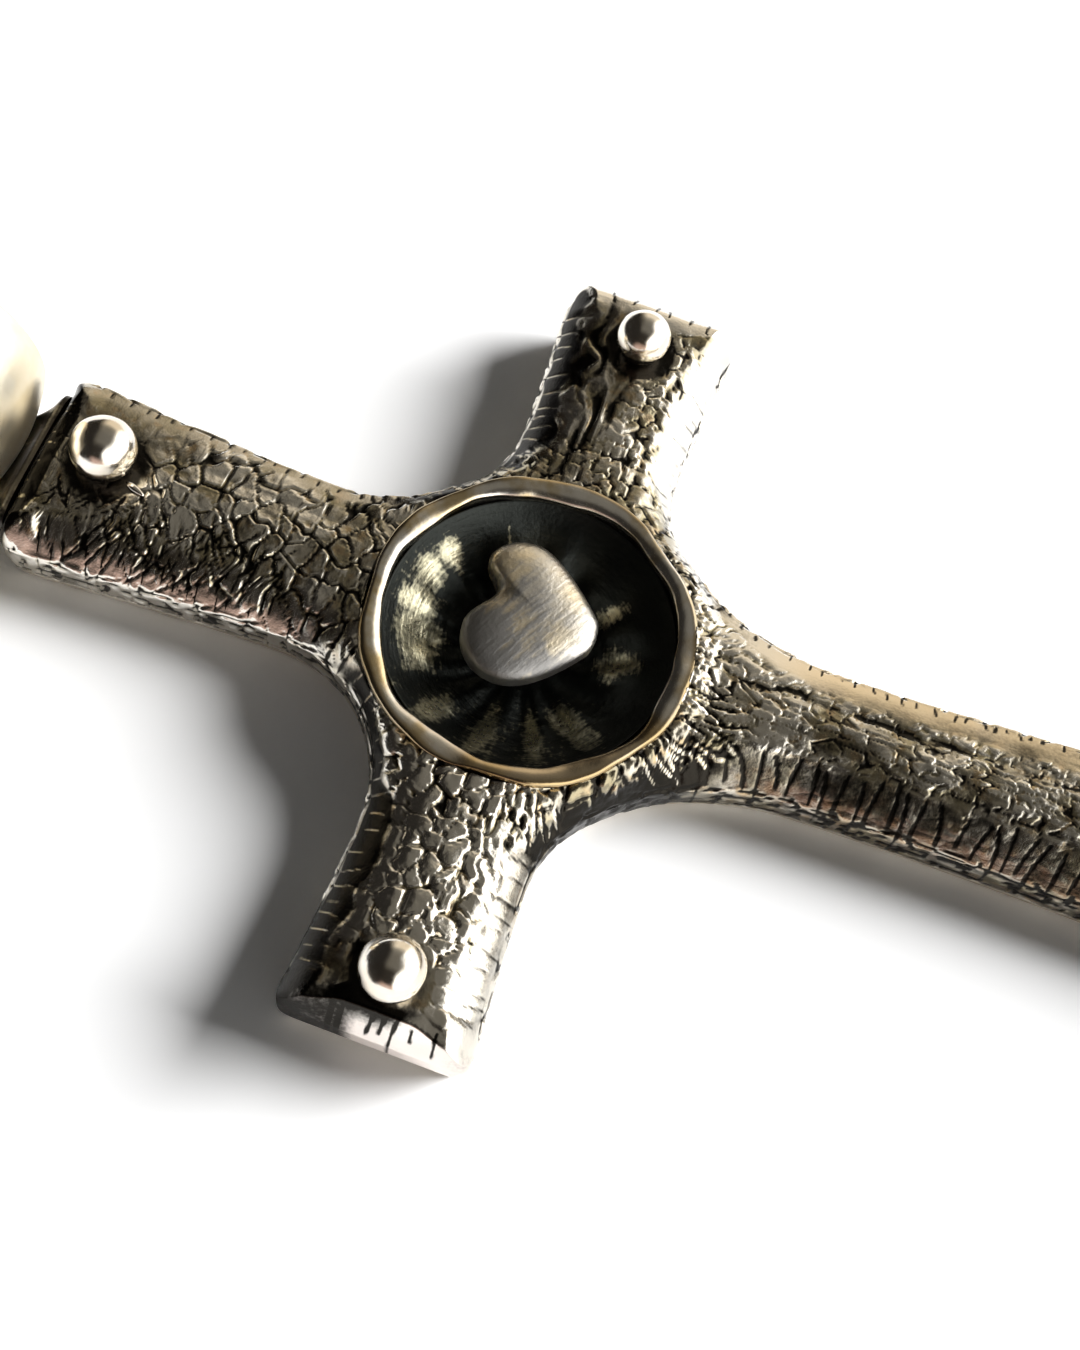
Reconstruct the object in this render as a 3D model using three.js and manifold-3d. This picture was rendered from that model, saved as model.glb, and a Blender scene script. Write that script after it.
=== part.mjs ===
// Cross pendant in oxidised silver: a hollow cross body of two sheets, a domed heart standing in a fluted
// dish inside a bezel, a ball pin on each arm, and a puffed bail that swings on a lug at the top arm's end.
//
// Millimetres. The pendant lies on its back. +Y runs to the bail, +X to the right arm as seen from the
// front with the bail up, and +Z out of the face. The origin is the bezel's centre on the back face.

import * as THREE from 'three';
import { mergeVertices } from 'three/addons/utils/BufferGeometryUtils.js';
import Module from 'manifold-3d';

// Arms, measured from the bezel's centre
const crossbarLength = 20.95;
const crossbarEndHalfWidth = 4.75;
const crossbarNeckHalfWidth = 4.2;
const crossbarNeckAt = 11.5;
const topArmLength = 26.2;
const topArmEndHalfWidth = 5.0;
const topArmNeckHalfWidth = 4.1;
const topArmNeckAt = 11.5;
const footArmLength = 44.5;
const footArmEndHalfWidth = 4.9;
const footArmNeckHalfWidth = 3.4;
const footArmNeckAt = 15.5;
const footArmLean = 2.2;
const shortArmFlarePower = 1.4;
const footArmFlarePower = 2;

// Cross section of the body
const plateThickness = 0.8;
const plateEdgeInset = 0.3;
const shellWall = 0.9;
const sideFootInset = 0.35;
const sideBulgeHeight = 2.2;
const sideTopHeight = 3.0;
const shoulderWidth = 1.05;
const shoulderHeight = 4.4;
const crownHeight = 5.2;
const endRounding = 0.95;
const ventRadius = 0.5;
const ventFromFootEnd = 7.5;

// Bezel, dish and heart
const seatHeight = 4.3;
const bezelOuterRadius = 8.1;
const bezelThickness = 0.8;
const bezelHeight = 1.4;
const dishFlangeThickness = 0.4;
const dishFlangeWidth = 0.5;
const dishWall = 0.5;
const dishDepth = 2.85;
const dishFloorRadius = 1.7;
const fluteCount = 12;
const fluteDepth = 0.28;
const heartWidth = 7.6;
const heartLength = 6.4;
const heartOffset = 1.0;
const heartEdge = 0.6;
const heartDome = 1.0;
const heartLift = 1.75;
const postRadius = 0.9;
const postTenonRadius = 0.5;

// Ball pins
const topBallRadius = 1.65;
const rightBallRadius = 1.42;
const leftBallRadius = 1.55;
const footBallRadius = 1.6;
const topBallFromEnd = 3.9;
const rightBallFromEnd = 3.55;
const leftBallFromEnd = 2.6;
const footBallFromEnd = 3.4;
const topBallOffset = 0.5;
const stemRadius = 0.5;
const stemTail = 0.7;
const ballSink = 0.3;

// Bail, its lug and its hinge pin
const lugBaseHalfWidth = 3.7;
const lugBaseHeight = 3.0;
const tongueHalfWidth = 1.3;
const tongueLength = 0.5;
const lugTaperLength = 2.3;
const eyeRadius = 1.25;
const hingeHeight = 2.7;
const hingePinRadius = 0.45;
const bailOuterRadius = 6.3;
const bailBoreRadius = 4.0;
const bailWidth = 8.0;
const bailRimRadius = 5.3;
const bailRimThickness = 0.9;
const hingeRadiusInBail = 5.15;
const bailSwingForward = 48;
const bailSwingBack = 44;
const bailFloorGap = 0.02;

// Clearances
const seatGap = 0.05;
const tenonGap = 0.08;
const hingeGap = 0.08;
const forkGap = 0.3;

// Fineness of round shapes
const roundSegments = 64;
const ballSegments = 20;
const pinSegments = 16;

const heights = {
  flangeTop: seatHeight + dishFlangeThickness,
  dishFloor: seatHeight + dishFlangeThickness - dishDepth,
};
heights.heartBottom = heights.dishFloor + heartLift;
const bezelInnerRadius = bezelOuterRadius - bezelThickness;
const flangeRadius = bezelInnerRadius - seatGap;
const dishBodyRadius = flangeRadius - dishFlangeWidth;

const silverFace = new THREE.MeshStandardMaterial({ color: 0x6f675a, roughness: 0.4, metalness: 1 });
const silverBack = new THREE.MeshStandardMaterial({ color: 0x8b867d, roughness: 0.45, metalness: 1 });
const silverPolished = new THREE.MeshStandardMaterial({ color: 0xd9d3c7, roughness: 0.18, metalness: 1 });
const silverBlack = new THREE.MeshStandardMaterial({ color: 0x24211d, roughness: 0.45, metalness: 1 });
const silverMatte = new THREE.MeshStandardMaterial({ color: 0x8d8676, roughness: 0.5, metalness: 1 });

const wasm = await Module();
wasm.setup();

// Solids and meshes

function solidOf(geometry) {
  const bare = geometry.clone();
  bare.deleteAttribute('normal');
  bare.deleteAttribute('uv');
  const merged = mergeVertices(bare, 1e-5);
  return new wasm.Manifold(new wasm.Mesh({
    numProp: 3,
    vertProperties: new Float32Array(merged.attributes.position.array),
    triVerts: new Uint32Array(merged.index.array),
  }));
}

function meshOf(name, solid, material) {
  const { vertProperties, triVerts } = solid.getMesh();
  const geometry = new THREE.BufferGeometry();
  geometry.setAttribute('position', new THREE.BufferAttribute(new Float32Array(vertProperties), 3));
  geometry.setIndex(new THREE.BufferAttribute(new Uint32Array(triVerts), 1));
  geometry.computeVertexNormals();
  const mesh = new THREE.Mesh(geometry, material);
  mesh.name = name;
  return mesh;
}

// A closed skin over a row of rings that all have the same number of points, with a fan over each end.
function loft(rings) {
  const count = rings[0].length;
  const positions = [];
  const indices = [];
  rings.forEach((ring) => ring.forEach((point) => positions.push(point.x, point.y, point.z)));
  for (let r = 0; r + 1 < rings.length; r += 1) {
    for (let i = 0; i < count; i += 1) {
      const a = r * count + i;
      const b = r * count + (i + 1) % count;
      indices.push(a, b + count, b, a, a + count, b + count);
    }
  }
  [0, rings.length - 1].forEach((r, end) => {
    const centre = new THREE.Vector3();
    rings[r].forEach((point) => centre.addScaledVector(point, 1 / count));
    const tip = positions.length / 3;
    positions.push(centre.x, centre.y, centre.z);
    for (let i = 0; i < count; i += 1) {
      const a = r * count + i;
      const b = r * count + (i + 1) % count;
      indices.push(...(end ? [b, a, tip] : [a, b, tip]));
    }
  });
  const geometry = new THREE.BufferGeometry();
  geometry.setAttribute('position', new THREE.Float32BufferAttribute(positions, 3));
  geometry.setIndex(indices);
  return geometry;
}

// A solid turned about the Z axis from a profile of [radius, height] points.
function turned(profile, segments) {
  const points = profile.map(([radius, height]) => new THREE.Vector2(radius, height));
  return new THREE.LatheGeometry(points, segments).rotateX(Math.PI / 2);
}

function cylinder(radius, bottom, top, segments = roundSegments) {
  return turned([[0, bottom], [radius, bottom], [radius, top], [0, top]], segments);
}

// Outline of the cross

const crossbar = {
  length: crossbarLength,
  endHalfWidth: crossbarEndHalfWidth,
  neckHalfWidth: crossbarNeckHalfWidth,
  neckAt: crossbarNeckAt,
  flarePower: shortArmFlarePower,
  slope: 0,
};
const topArm = {
  length: topArmLength,
  endHalfWidth: topArmEndHalfWidth,
  neckHalfWidth: topArmNeckHalfWidth,
  neckAt: topArmNeckAt,
  flarePower: shortArmFlarePower,
  slope: 0,
};
const footArm = {
  length: footArmLength,
  endHalfWidth: footArmEndHalfWidth,
  neckHalfWidth: footArmNeckHalfWidth,
  neckAt: footArmNeckAt,
  flarePower: footArmFlarePower,
  slope: Math.tan(THREE.MathUtils.degToRad(footArmLean)),
};

// Each arm is drawn along +X and turned into place. Its sides meet those of the arms next to it.
const arms = [
  { ...crossbar, turn: 0, left: topArm, right: footArm },
  { ...topArm, turn: Math.PI / 2, left: crossbar, right: crossbar },
  { ...crossbar, turn: Math.PI, left: footArm, right: topArm },
  { ...footArm, turn: -Math.PI / 2, left: crossbar, right: crossbar },
];

// Share of the ellipse's radius at which an arm stops following it.
const filletShare = 0.82;

// Half width of an arm at a distance along it, on the side of its neighbour. From the neck inwards the
// side is the quarter ellipse that both arms share, to just past its middle.
function halfWidth(arm, neighbour, distance) {
  if (distance > arm.neckAt) {
    const flare = (distance - arm.neckAt) / (arm.length - arm.neckAt);
    return arm.neckHalfWidth + (arm.endHalfWidth - arm.neckHalfWidth) * flare ** arm.flarePower;
  }
  const reach = Math.min((arm.neckAt - distance) / (arm.neckAt - neighbour.neckHalfWidth), filletShare);
  return arm.neckHalfWidth + (neighbour.neckAt - arm.neckHalfWidth) * (1 - Math.sqrt(1 - reach ** 2));
}

// How far the rounded end draws the section in, at a distance along the arm.
function endInset(arm, distance, inset) {
  const into = Math.max(0, distance - (arm.length - inset - endRounding)) / endRounding;
  return endRounding * (1 - Math.sqrt(1 - Math.min(into, 0.97) ** 2));
}

// Distances along an arm at which its section is drawn.
function stations(arm, inset, hubSteps, armSteps, endSteps) {
  const start = hubStart(arm);
  const roundFrom = arm.length - inset - endRounding;
  const list = [0.25 * start];
  for (let i = 0; i < hubSteps; i += 1) {
    list.push(THREE.MathUtils.lerp(start, arm.neckAt, i / hubSteps));
  }
  for (let i = 0; i < armSteps; i += 1) {
    list.push(THREE.MathUtils.lerp(arm.neckAt, roundFrom, i / armSteps));
  }
  for (let i = 0; i <= endSteps; i += 1) {
    list.push(roundFrom + endRounding * Math.sin((i / endSteps) * Math.PI / 2));
  }
  return list;
}

// The distance where an arm starts to follow the shared ellipses beside it, taken at the nearer one.
function hubStart(arm) {
  const reaches = [arm.left, arm.right].map((neighbour) => arm.neckAt - neighbour.neckHalfWidth);
  return arm.neckAt - Math.max(...reaches) * filletShare;
}

// How far an arm that leans has moved to its left at a distance along it.
function leanAt(arm, distance) {
  return arm.slope * Math.max(0, distance - hubStart(arm));
}

// The face side of a section, from the edge of the sheet below up to the centre line, as [inset, height].
function faceProfile(half, lowered, sideSteps, crownSteps) {
  const lower = (height) => Math.max(height - lowered, Math.min(height, sideBulgeHeight));
  const points = [[sideFootInset, plateThickness], [0.3 * sideFootInset, 0.5 * (plateThickness + sideBulgeHeight)]];
  points.push([0, lower(sideBulgeHeight)]);
  for (let i = 0; i <= sideSteps; i += 1) {
    const t = (i / sideSteps) * Math.PI / 2;
    const inset = shoulderWidth * (1 - Math.cos(t));
    points.push([inset, lower(sideTopHeight + (shoulderHeight - sideTopHeight) * Math.sin(t))]);
  }
  for (let i = crownSteps - 1; i >= 0; i -= 1) {
    const part = i / crownSteps;
    const inset = half - part * (half - shoulderWidth);
    points.push([inset, lower(crownHeight - (crownHeight - shoulderHeight) * part ** 2)]);
  }
  return points;
}

// A ring of points across an arm, from the right foot of the section over the crown to the left foot.
function armRing(arm, distance, inset, profile) {
  const drawnIn = inset + endInset(arm, distance, inset);
  const lowered = endInset(arm, distance, inset);
  const sides = [arm.right, arm.left].map((neighbour) => {
    const half = halfWidth(arm, neighbour, distance) - drawnIn;
    return profile(half, lowered).map(([fromEdge, height]) => [half - fromEdge, height]);
  });
  const lean = leanAt(arm, distance);
  const right = sides[0].map(([across, height]) => new THREE.Vector3(distance, lean - across, height));
  const left = sides[1].map(([across, height]) => new THREE.Vector3(distance, lean + across, height));
  return [...right, ...left.reverse().slice(1)];
}

function armSolid(arm, inset, steps, profile) {
  const rings = stations(arm, inset, ...steps).map((distance) => armRing(arm, distance, inset, profile));
  return solidOf(loft(rings).rotateZ(arm.turn));
}

function union(solids) {
  return solids.reduce((sum, solid) => sum.add(solid));
}

// Ball pins and their places, which the front shell is drilled for

const footBallAt = footArmLength - footBallFromEnd;
const footBallLean = leanAt(arms[3], footBallAt);
const ballPins = [
  { name: 'ball_pin_top', radius: topBallRadius, x: topBallOffset, y: topArmLength - topBallFromEnd },
  { name: 'ball_pin_right', radius: rightBallRadius, x: crossbarLength - rightBallFromEnd, y: 0 },
  { name: 'ball_pin_left', radius: leftBallRadius, x: leftBallFromEnd - crossbarLength, y: 0 },
  { name: 'ball_pin_foot', radius: footBallRadius, x: footBallLean, y: -footBallAt },
];

function ballHeight(radius) {
  return crownHeight - ballSink + radius;
}

function ballPin({ name, radius, x, y }) {
  const centre = ballHeight(radius);
  const start = Math.asin(stemRadius / radius);
  const profile = [[0, crownHeight - shellWall - stemTail], [stemRadius, crownHeight - shellWall - stemTail]];
  const steps = 10;
  for (let i = 0; i <= steps; i += 1) {
    const t = THREE.MathUtils.lerp(start, Math.PI, i / steps);
    profile.push([i < steps ? radius * Math.sin(t) : 0, centre - radius * Math.cos(t)]);
  }
  return meshOf(name, solidOf(turned(profile, ballSegments)).translate([x, y, 0]), silverPolished);
}

// Front shell: the textured sheet, bent down at its edges into a tray, open at the back

function frontShell() {
  const outerProfile = (half, lowered) => faceProfile(half, lowered, 4, 4);
  const outer = union(arms.map((arm) => armSolid(arm, 0, [5, 6, 3], outerProfile)));
  const hub = solidOf(cylinder(bezelOuterRadius + seatGap, plateThickness, seatHeight));
  const innerProfile = (half, lowered) => {
    const roof = (across) => crownHeight - (crownHeight - shoulderHeight) * across ** 2 - shellWall - lowered;
    return [[0, plateThickness - shellWall], [0, roof(1) - 0.6 * shellWall], [0.6 * shellWall, roof(1)], [half, roof(0)]];
  };
  const roofOverHub = solidOf(cylinder(bezelOuterRadius + shellWall, seatHeight - shellWall, 2 * crownHeight));
  const hollow = union(arms.map((arm) => armSolid(arm, shellWall, [4, 4, 1], innerProfile)));
  let shell = outer.add(hub);
  shell = shell.subtract(hollow.subtract(roofOverHub));
  shell = shell.subtract(solidOf(cylinder(bezelOuterRadius + seatGap, seatHeight, 2 * crownHeight)));
  shell = shell.subtract(solidOf(cylinder(dishBodyRadius + seatGap, 0, 2 * crownHeight)));
  ballPins.forEach(({ radius, x, y }) => {
    const drill = solidOf(cylinder(stemRadius + tenonGap, 0, crownHeight, ballSegments));
    const cup = solidOf(new THREE.SphereGeometry(radius + seatGap, ballSegments, ballSegments));
    shell = shell.subtract(drill.translate([x, y, 0]));
    shell = shell.subtract(cup.translate([x, y, ballHeight(radius)]));
  });
  return meshOf('front_shell', shell, silverFace);
}

// Back plate: the flat sheet that closes the tray, with the vent that a soldered hollow needs

function backPlate() {
  const edge = () => [
    [sideFootInset + plateEdgeInset, 0],
    [sideFootInset + 0.3 * plateEdgeInset, 0.5 * plateThickness],
    [sideFootInset, plateThickness],
  ];
  const plateRing = (half) => [...edge(), [half, plateThickness]];
  const plate = union(arms.map((arm) => armSolid(arm, 0, [5, 6, 3], plateRing)));
  const hub = solidOf(cylinder(bezelOuterRadius - plateEdgeInset, 0, plateThickness));
  const ventAt = footArmLength - ventFromFootEnd;
  const vent = solidOf(cylinder(ventRadius, -plateThickness, 2 * plateThickness, pinSegments));
  const drilled = plate.add(hub).subtract(vent.translate([leanAt(arms[3], ventAt), -ventAt, 0]));
  return meshOf('back_plate', drilled, silverBack);
}

// Bezel: a rounded upstanding ring on the seat round the dish

function bezelRing() {
  const lip = 0.5 * bezelThickness;
  const profile = [[bezelInnerRadius, seatHeight], [bezelOuterRadius, seatHeight]];
  const steps = 6;
  for (let i = 0; i <= steps; i += 1) {
    const t = (i / steps) * Math.PI;
    const radius = bezelInnerRadius + lip + lip * Math.cos(t);
    profile.push([radius, seatHeight + bezelHeight - lip + lip * Math.sin(t)]);
  }
  profile.push(profile[0]);
  return meshOf('bezel_ring', solidOf(turned(profile, roundSegments)), silverPolished);
}

// Dish: a thin bowl with radial flutes, hung by its flange inside the bezel

function flutedDish() {
  const bowlSteps = 5;
  const segments = 6 * fluteCount;
  const section = [];
  const floor = [postTenonRadius + tenonGap, dishFloorRadius];
  const bowl = (part) => {
    const radius = THREE.MathUtils.lerp(dishFloorRadius, dishBodyRadius - dishWall, Math.sin(part * Math.PI / 2));
    const height = heights.dishFloor + (dishDepth - dishFlangeThickness) * (1 - Math.cos(part * Math.PI / 2));
    return { radius, height, flute: Math.sin(part * Math.PI) * fluteDepth };
  };
  section.push({ radius: floor[0], height: heights.dishFloor, flute: 0 });
  for (let i = 0; i <= bowlSteps; i += 1) {
    section.push(bowl(i / bowlSteps));
  }
  section.push({ radius: dishBodyRadius - dishWall, height: heights.flangeTop, flute: 0 });
  section.push({ radius: flangeRadius, height: heights.flangeTop, flute: 0 });
  section.push({ radius: flangeRadius, height: seatHeight, flute: 0 });
  section.push({ radius: dishBodyRadius, height: seatHeight, flute: 0 });
  for (let i = bowlSteps; i >= 0; i -= 1) {
    const { radius, height, flute } = bowl(i / bowlSteps);
    const outwards = Math.sin((i / bowlSteps) * Math.PI / 2) * dishWall;
    section.push({ radius: radius + outwards, height: height - dishWall, flute });
  }
  section.push({ radius: floor[0], height: heights.dishFloor - dishWall, flute: 0 });
  const rings = [];
  for (let s = 0; s < segments; s += 1) {
    const angle = (s / segments) * 2 * Math.PI;
    rings.push(section.map(({ radius, height, flute }) => {
      const z = height + flute * Math.cos(fluteCount * angle);
      return new THREE.Vector3(radius * Math.cos(angle), radius * Math.sin(angle), z);
    }));
  }
  return meshOf('fluted_dish', solidOf(closedLoop(rings)), silverBlack);
}

// A closed skin over rings that run round and meet themselves, with no ends.
function closedLoop(rings) {
  const count = rings[0].length;
  const positions = rings.flatMap((ring) => ring.flatMap((point) => [point.x, point.y, point.z]));
  const indices = [];
  rings.forEach((_, r) => {
    const next = (r + 1) % rings.length;
    for (let i = 0; i < count; i += 1) {
      const j = (i + 1) % count;
      const [a, b, c, d] = [r * count + i, r * count + j, next * count + j, next * count + i];
      indices.push(a, b, c, a, c, d);
    }
  });
  const geometry = new THREE.BufferGeometry();
  geometry.setAttribute('position', new THREE.Float32BufferAttribute(positions, 3));
  geometry.setIndex(indices);
  return geometry;
}

// Heart: a thick heart-shaped button, flat below and domed above

function heartOutline() {
  const w = 0.5 * heartWidth;
  const l = 0.5 * heartLength;
  const shape = new THREE.Shape();
  shape.moveTo(0.16 * w, 0.68 * l);
  shape.bezierCurveTo(0.34 * w, 0.72 * l, 0.42 * w, 1.06 * l, 0.66 * w, 0.98 * l);
  shape.bezierCurveTo(0.92 * w, 0.86 * l, 1.02 * w, 0.55 * l, w, 0.28 * l);
  shape.bezierCurveTo(0.94 * w, -0.1 * l, 0.5 * w, -0.68 * l, 0.28 * w, -0.92 * l);
  shape.bezierCurveTo(0.16 * w, -1.02 * l, -0.06 * w, -1.02 * l, -0.2 * w, -0.94 * l);
  shape.bezierCurveTo(-0.62 * w, -0.6 * l, -w, -0.2 * l, -w, 0.24 * l);
  shape.bezierCurveTo(-w, 0.72 * l, -0.68 * w, l, -0.4 * w, l);
  shape.bezierCurveTo(-0.16 * w, 0.98 * l, -0.06 * w, 0.72 * l, 0.16 * w, 0.68 * l);
  return shape.getPoints(6).slice(0, -1);
}

function heart() {
  const outline = heartOutline();
  const bottom = heights.heartBottom;
  const ring = (scale, height) => outline.map(({ x, y }) => new THREE.Vector3(
    heartOffset + scale * x,
    scale * y,
    height,
  ));
  const rings = [ring(1, bottom), ring(1, bottom + heartEdge)];
  const steps = 5;
  for (let i = 1; i < steps; i += 1) {
    const t = (i / steps) * Math.PI / 2;
    rings.push(ring(Math.cos(t), bottom + heartEdge + heartDome * Math.sin(t)));
  }
  return meshOf('heart', solidOf(loft(rings)), silverMatte);
}

// Heart post: shouldered pin through the dish's floor

function heartPost() {
  const profile = [
    [0, heights.dishFloor - dishWall - 0.5 * tenonGap],
    [postTenonRadius, heights.dishFloor - dishWall - 0.5 * tenonGap],
    [postTenonRadius, heights.dishFloor],
    [postRadius, heights.dishFloor],
    [postRadius, heights.heartBottom],
    [0, heights.heartBottom],
  ];
  return meshOf('heart_post', solidOf(turned(profile, pinSegments)), silverBlack);
}

// Places of the hinge and of the bail's centre, in the plane across the pendant

const hinge = { y: topArmLength + lugTaperLength + tongueLength, z: hingeHeight };
const bailRise = bailOuterRadius + bailFloorGap - hingeHeight;
const bailRestAngle = Math.asin(bailRise / hingeRadiusInBail);
const bailCentre = { y: hinge.y + hingeRadiusInBail * Math.cos(bailRestAngle), z: hinge.z + bailRise };

// Extrudes a shape drawn in the Y and Z directions by a half width to each side of the X axis.
function acrossX(shape, half) {
  const geometry = new THREE.ExtrudeGeometry(shape, { depth: 2 * half, bevelEnabled: false, curveSegments: 12 });
  return geometry.translate(0, 0, -half).applyMatrix4(new THREE.Matrix4().makeBasis(
    new THREE.Vector3(0, 1, 0),
    new THREE.Vector3(0, 0, 1),
    new THREE.Vector3(1, 0, 0),
  ));
}

// A cylinder about the hinge axis.
function aboutHinge(radius, half) {
  return solidOf(cylinder(radius, -half, half, pinSegments).rotateY(Math.PI / 2)).translate([0, hinge.y, hinge.z]);
}

// Lug: tapered from the end wall of the top arm to a tongue with a round eye

function bailLug() {
  const start = topArmLength;
  const plan = new THREE.Shape();
  plan.moveTo(-lugBaseHalfWidth, start);
  plan.lineTo(lugBaseHalfWidth, start);
  plan.lineTo(tongueHalfWidth, start + lugTaperLength);
  plan.lineTo(tongueHalfWidth, hinge.y + 2 * eyeRadius);
  plan.lineTo(-tongueHalfWidth, hinge.y + 2 * eyeRadius);
  plan.lineTo(-tongueHalfWidth, start + lugTaperLength);
  const planSolid = solidOf(new THREE.ExtrudeGeometry(plan, { depth: 2 * crownHeight, bevelEnabled: false }));
  const side = new THREE.Shape();
  side.moveTo(start, hinge.z - 0.5 * lugBaseHeight);
  side.lineTo(hinge.y, hinge.z - eyeRadius);
  side.absarc(hinge.y, hinge.z, eyeRadius, -Math.PI / 2, Math.PI / 2, false);
  side.lineTo(start, hinge.z + 0.5 * lugBaseHeight);
  const sideSolid = solidOf(acrossX(side, lugBaseHalfWidth));
  const lug = planSolid.intersect(sideSolid).subtract(aboutHinge(hingePinRadius + hingeGap, bailWidth));
  return meshOf('bail_lug', lug, silverBlack);
}

// Space that the lug needs inside the bail's fork: a V about the hinge, kept to the side the lug comes
// from at every angle of the swing, and a round pocket for the eye.
function forkSpace() {
  const reach = 2 * bailOuterRadius;
  const taperSlope = (lugBaseHalfWidth - tongueHalfWidth) / lugTaperLength;
  const half = tongueHalfWidth + forkGap;
  const flared = half + taperSlope * (reach - tongueLength);
  const vee = solidOf(turned([
    [0, -half], [tongueLength, -half], [reach, -flared],
    [reach, flared], [tongueLength, half], [0, half],
  ], pinSegments).rotateY(Math.PI / 2)).translate([0, hinge.y, hinge.z]);
  const thick = 0.5 * lugBaseHeight + forkGap;
  const limits = [[1, bailSwingForward], [-1, bailSwingBack]].map(([side, swing]) => {
    const towardsLug = Math.PI + bailRestAngle - side * THREE.MathUtils.degToRad(swing);
    const along = new THREE.Vector2(Math.cos(towardsLug), Math.sin(towardsLug));
    const across = new THREE.Vector2(-along.y, along.x).multiplyScalar(-side * thick);
    return { near: across, far: across.clone().addScaledVector(along, reach) };
  });
  const wedge = new THREE.Shape([
    limits[0].near, limits[0].far, limits[1].far, limits[1].near,
  ].map((point) => new THREE.Vector2(hinge.y + point.x, hinge.z + point.y)));
  const sector = solidOf(acrossX(wedge, reach));
  return vee.intersect(sector).add(aboutHinge(eyeRadius + forkGap, half));
}

// Bail: a puffed band bent to a loop, forked at the hinge

function bailLoop() {
  const halfWidthAtRim = 0.5 * bailWidth - 0.5 * bailRimThickness;
  const swell = (middle, rim, across) => rim + (middle - rim) * Math.cos((across * Math.PI) / 2) ** 0.8;
  const steps = 8;
  const profile = [];
  for (let i = 0; i <= steps; i += 1) {
    const across = (2 * i) / steps - 1;
    const rim = bailRimRadius + 0.5 * bailRimThickness;
    profile.push([swell(bailOuterRadius, rim, Math.abs(across)), across * halfWidthAtRim]);
  }
  profile.push([bailRimRadius, 0.5 * bailWidth]);
  for (let i = steps; i >= 0; i -= 1) {
    const across = (2 * i) / steps - 1;
    const rim = bailRimRadius - 0.5 * bailRimThickness;
    profile.push([swell(bailBoreRadius, rim, Math.abs(across)), across * halfWidthAtRim]);
  }
  profile.push([bailRimRadius, -0.5 * bailWidth]);
  profile.push(profile[0]);
  const ring = solidOf(turned(profile, roundSegments).rotateY(Math.PI / 2));
  const loop = ring.translate([0, bailCentre.y, bailCentre.z]);
  const bored = loop.subtract(forkSpace()).subtract(aboutHinge(hingePinRadius + seatGap, bailWidth));
  return meshOf('bail_loop', bored, silverPolished);
}

// Hinge pin: a wire through both ears of the bail and the lug's eye, riveted flush

function hingePin() {
  const half = 0.5 * bailWidth - bailRimThickness;
  return meshOf('hinge_pin', aboutHinge(hingePinRadius, half), silverPolished);
}

const group = new THREE.Group();
group.add(backPlate(), frontShell(), bezelRing(), flutedDish(), heartPost(), heart());
group.add(...ballPins.map(ballPin));
group.add(bailLug(), bailLoop(), hingePin());

export default group;
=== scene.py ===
import math

import bpy
import numpy as np
from mathutils import Matrix, Vector
from mathutils.geometry import delaunay_2d_cdt
from mathutils.kdtree import KDTree


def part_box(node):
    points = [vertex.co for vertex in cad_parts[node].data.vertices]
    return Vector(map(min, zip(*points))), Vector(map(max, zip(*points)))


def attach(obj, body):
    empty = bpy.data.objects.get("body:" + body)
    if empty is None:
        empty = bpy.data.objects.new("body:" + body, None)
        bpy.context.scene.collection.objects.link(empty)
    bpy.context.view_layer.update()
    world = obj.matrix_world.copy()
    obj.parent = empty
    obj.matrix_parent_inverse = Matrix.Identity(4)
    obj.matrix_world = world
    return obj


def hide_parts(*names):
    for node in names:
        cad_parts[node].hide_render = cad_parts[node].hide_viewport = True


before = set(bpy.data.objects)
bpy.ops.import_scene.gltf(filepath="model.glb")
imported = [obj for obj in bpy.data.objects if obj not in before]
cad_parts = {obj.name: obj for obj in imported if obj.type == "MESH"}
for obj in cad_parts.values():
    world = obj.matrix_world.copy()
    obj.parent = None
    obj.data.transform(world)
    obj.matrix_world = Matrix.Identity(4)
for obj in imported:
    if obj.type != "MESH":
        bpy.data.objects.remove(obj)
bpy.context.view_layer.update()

# Camera. It stands over the left arm, 90 mm from the pendant, as a phone is held for a close picture, and
# is turned about its own axis so that the long arm runs down to the right. Sizes here are millimetres.
MM = 0.001
camera_target = Vector((-0.71, -1.15, 2.0))
camera_distance = 90.0
camera_azimuth = math.radians(-84.08)
camera_elevation = math.radians(65.33)
camera_roll = math.radians(14.80)
camera_lens = 48.2

towards_camera = Vector((
    math.sin(camera_azimuth) * math.cos(camera_elevation),
    -math.cos(camera_azimuth) * math.cos(camera_elevation),
    math.sin(camera_elevation),
))
level_right = Vector((math.cos(camera_azimuth), math.sin(camera_azimuth), 0.0))
level_up = towards_camera.cross(level_right)
picture_right = math.cos(camera_roll) * level_right + math.sin(camera_roll) * level_up
picture_up = towards_camera.cross(picture_right)
camera_data = bpy.data.cameras.new("camera")
camera_data.lens = camera_lens
camera_data.clip_start = 0.002
camera_data.clip_end = 10.0
camera = bpy.data.objects.new("camera", camera_data)
camera_axes = Matrix((picture_right, picture_up, towards_camera)).transposed().to_4x4()
camera_place = (camera_target + camera_distance * towards_camera) * MM
camera.matrix_world = Matrix.Translation(camera_place) @ camera_axes
bpy.context.scene.collection.objects.link(camera)
bpy.context.scene.camera = camera


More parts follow.
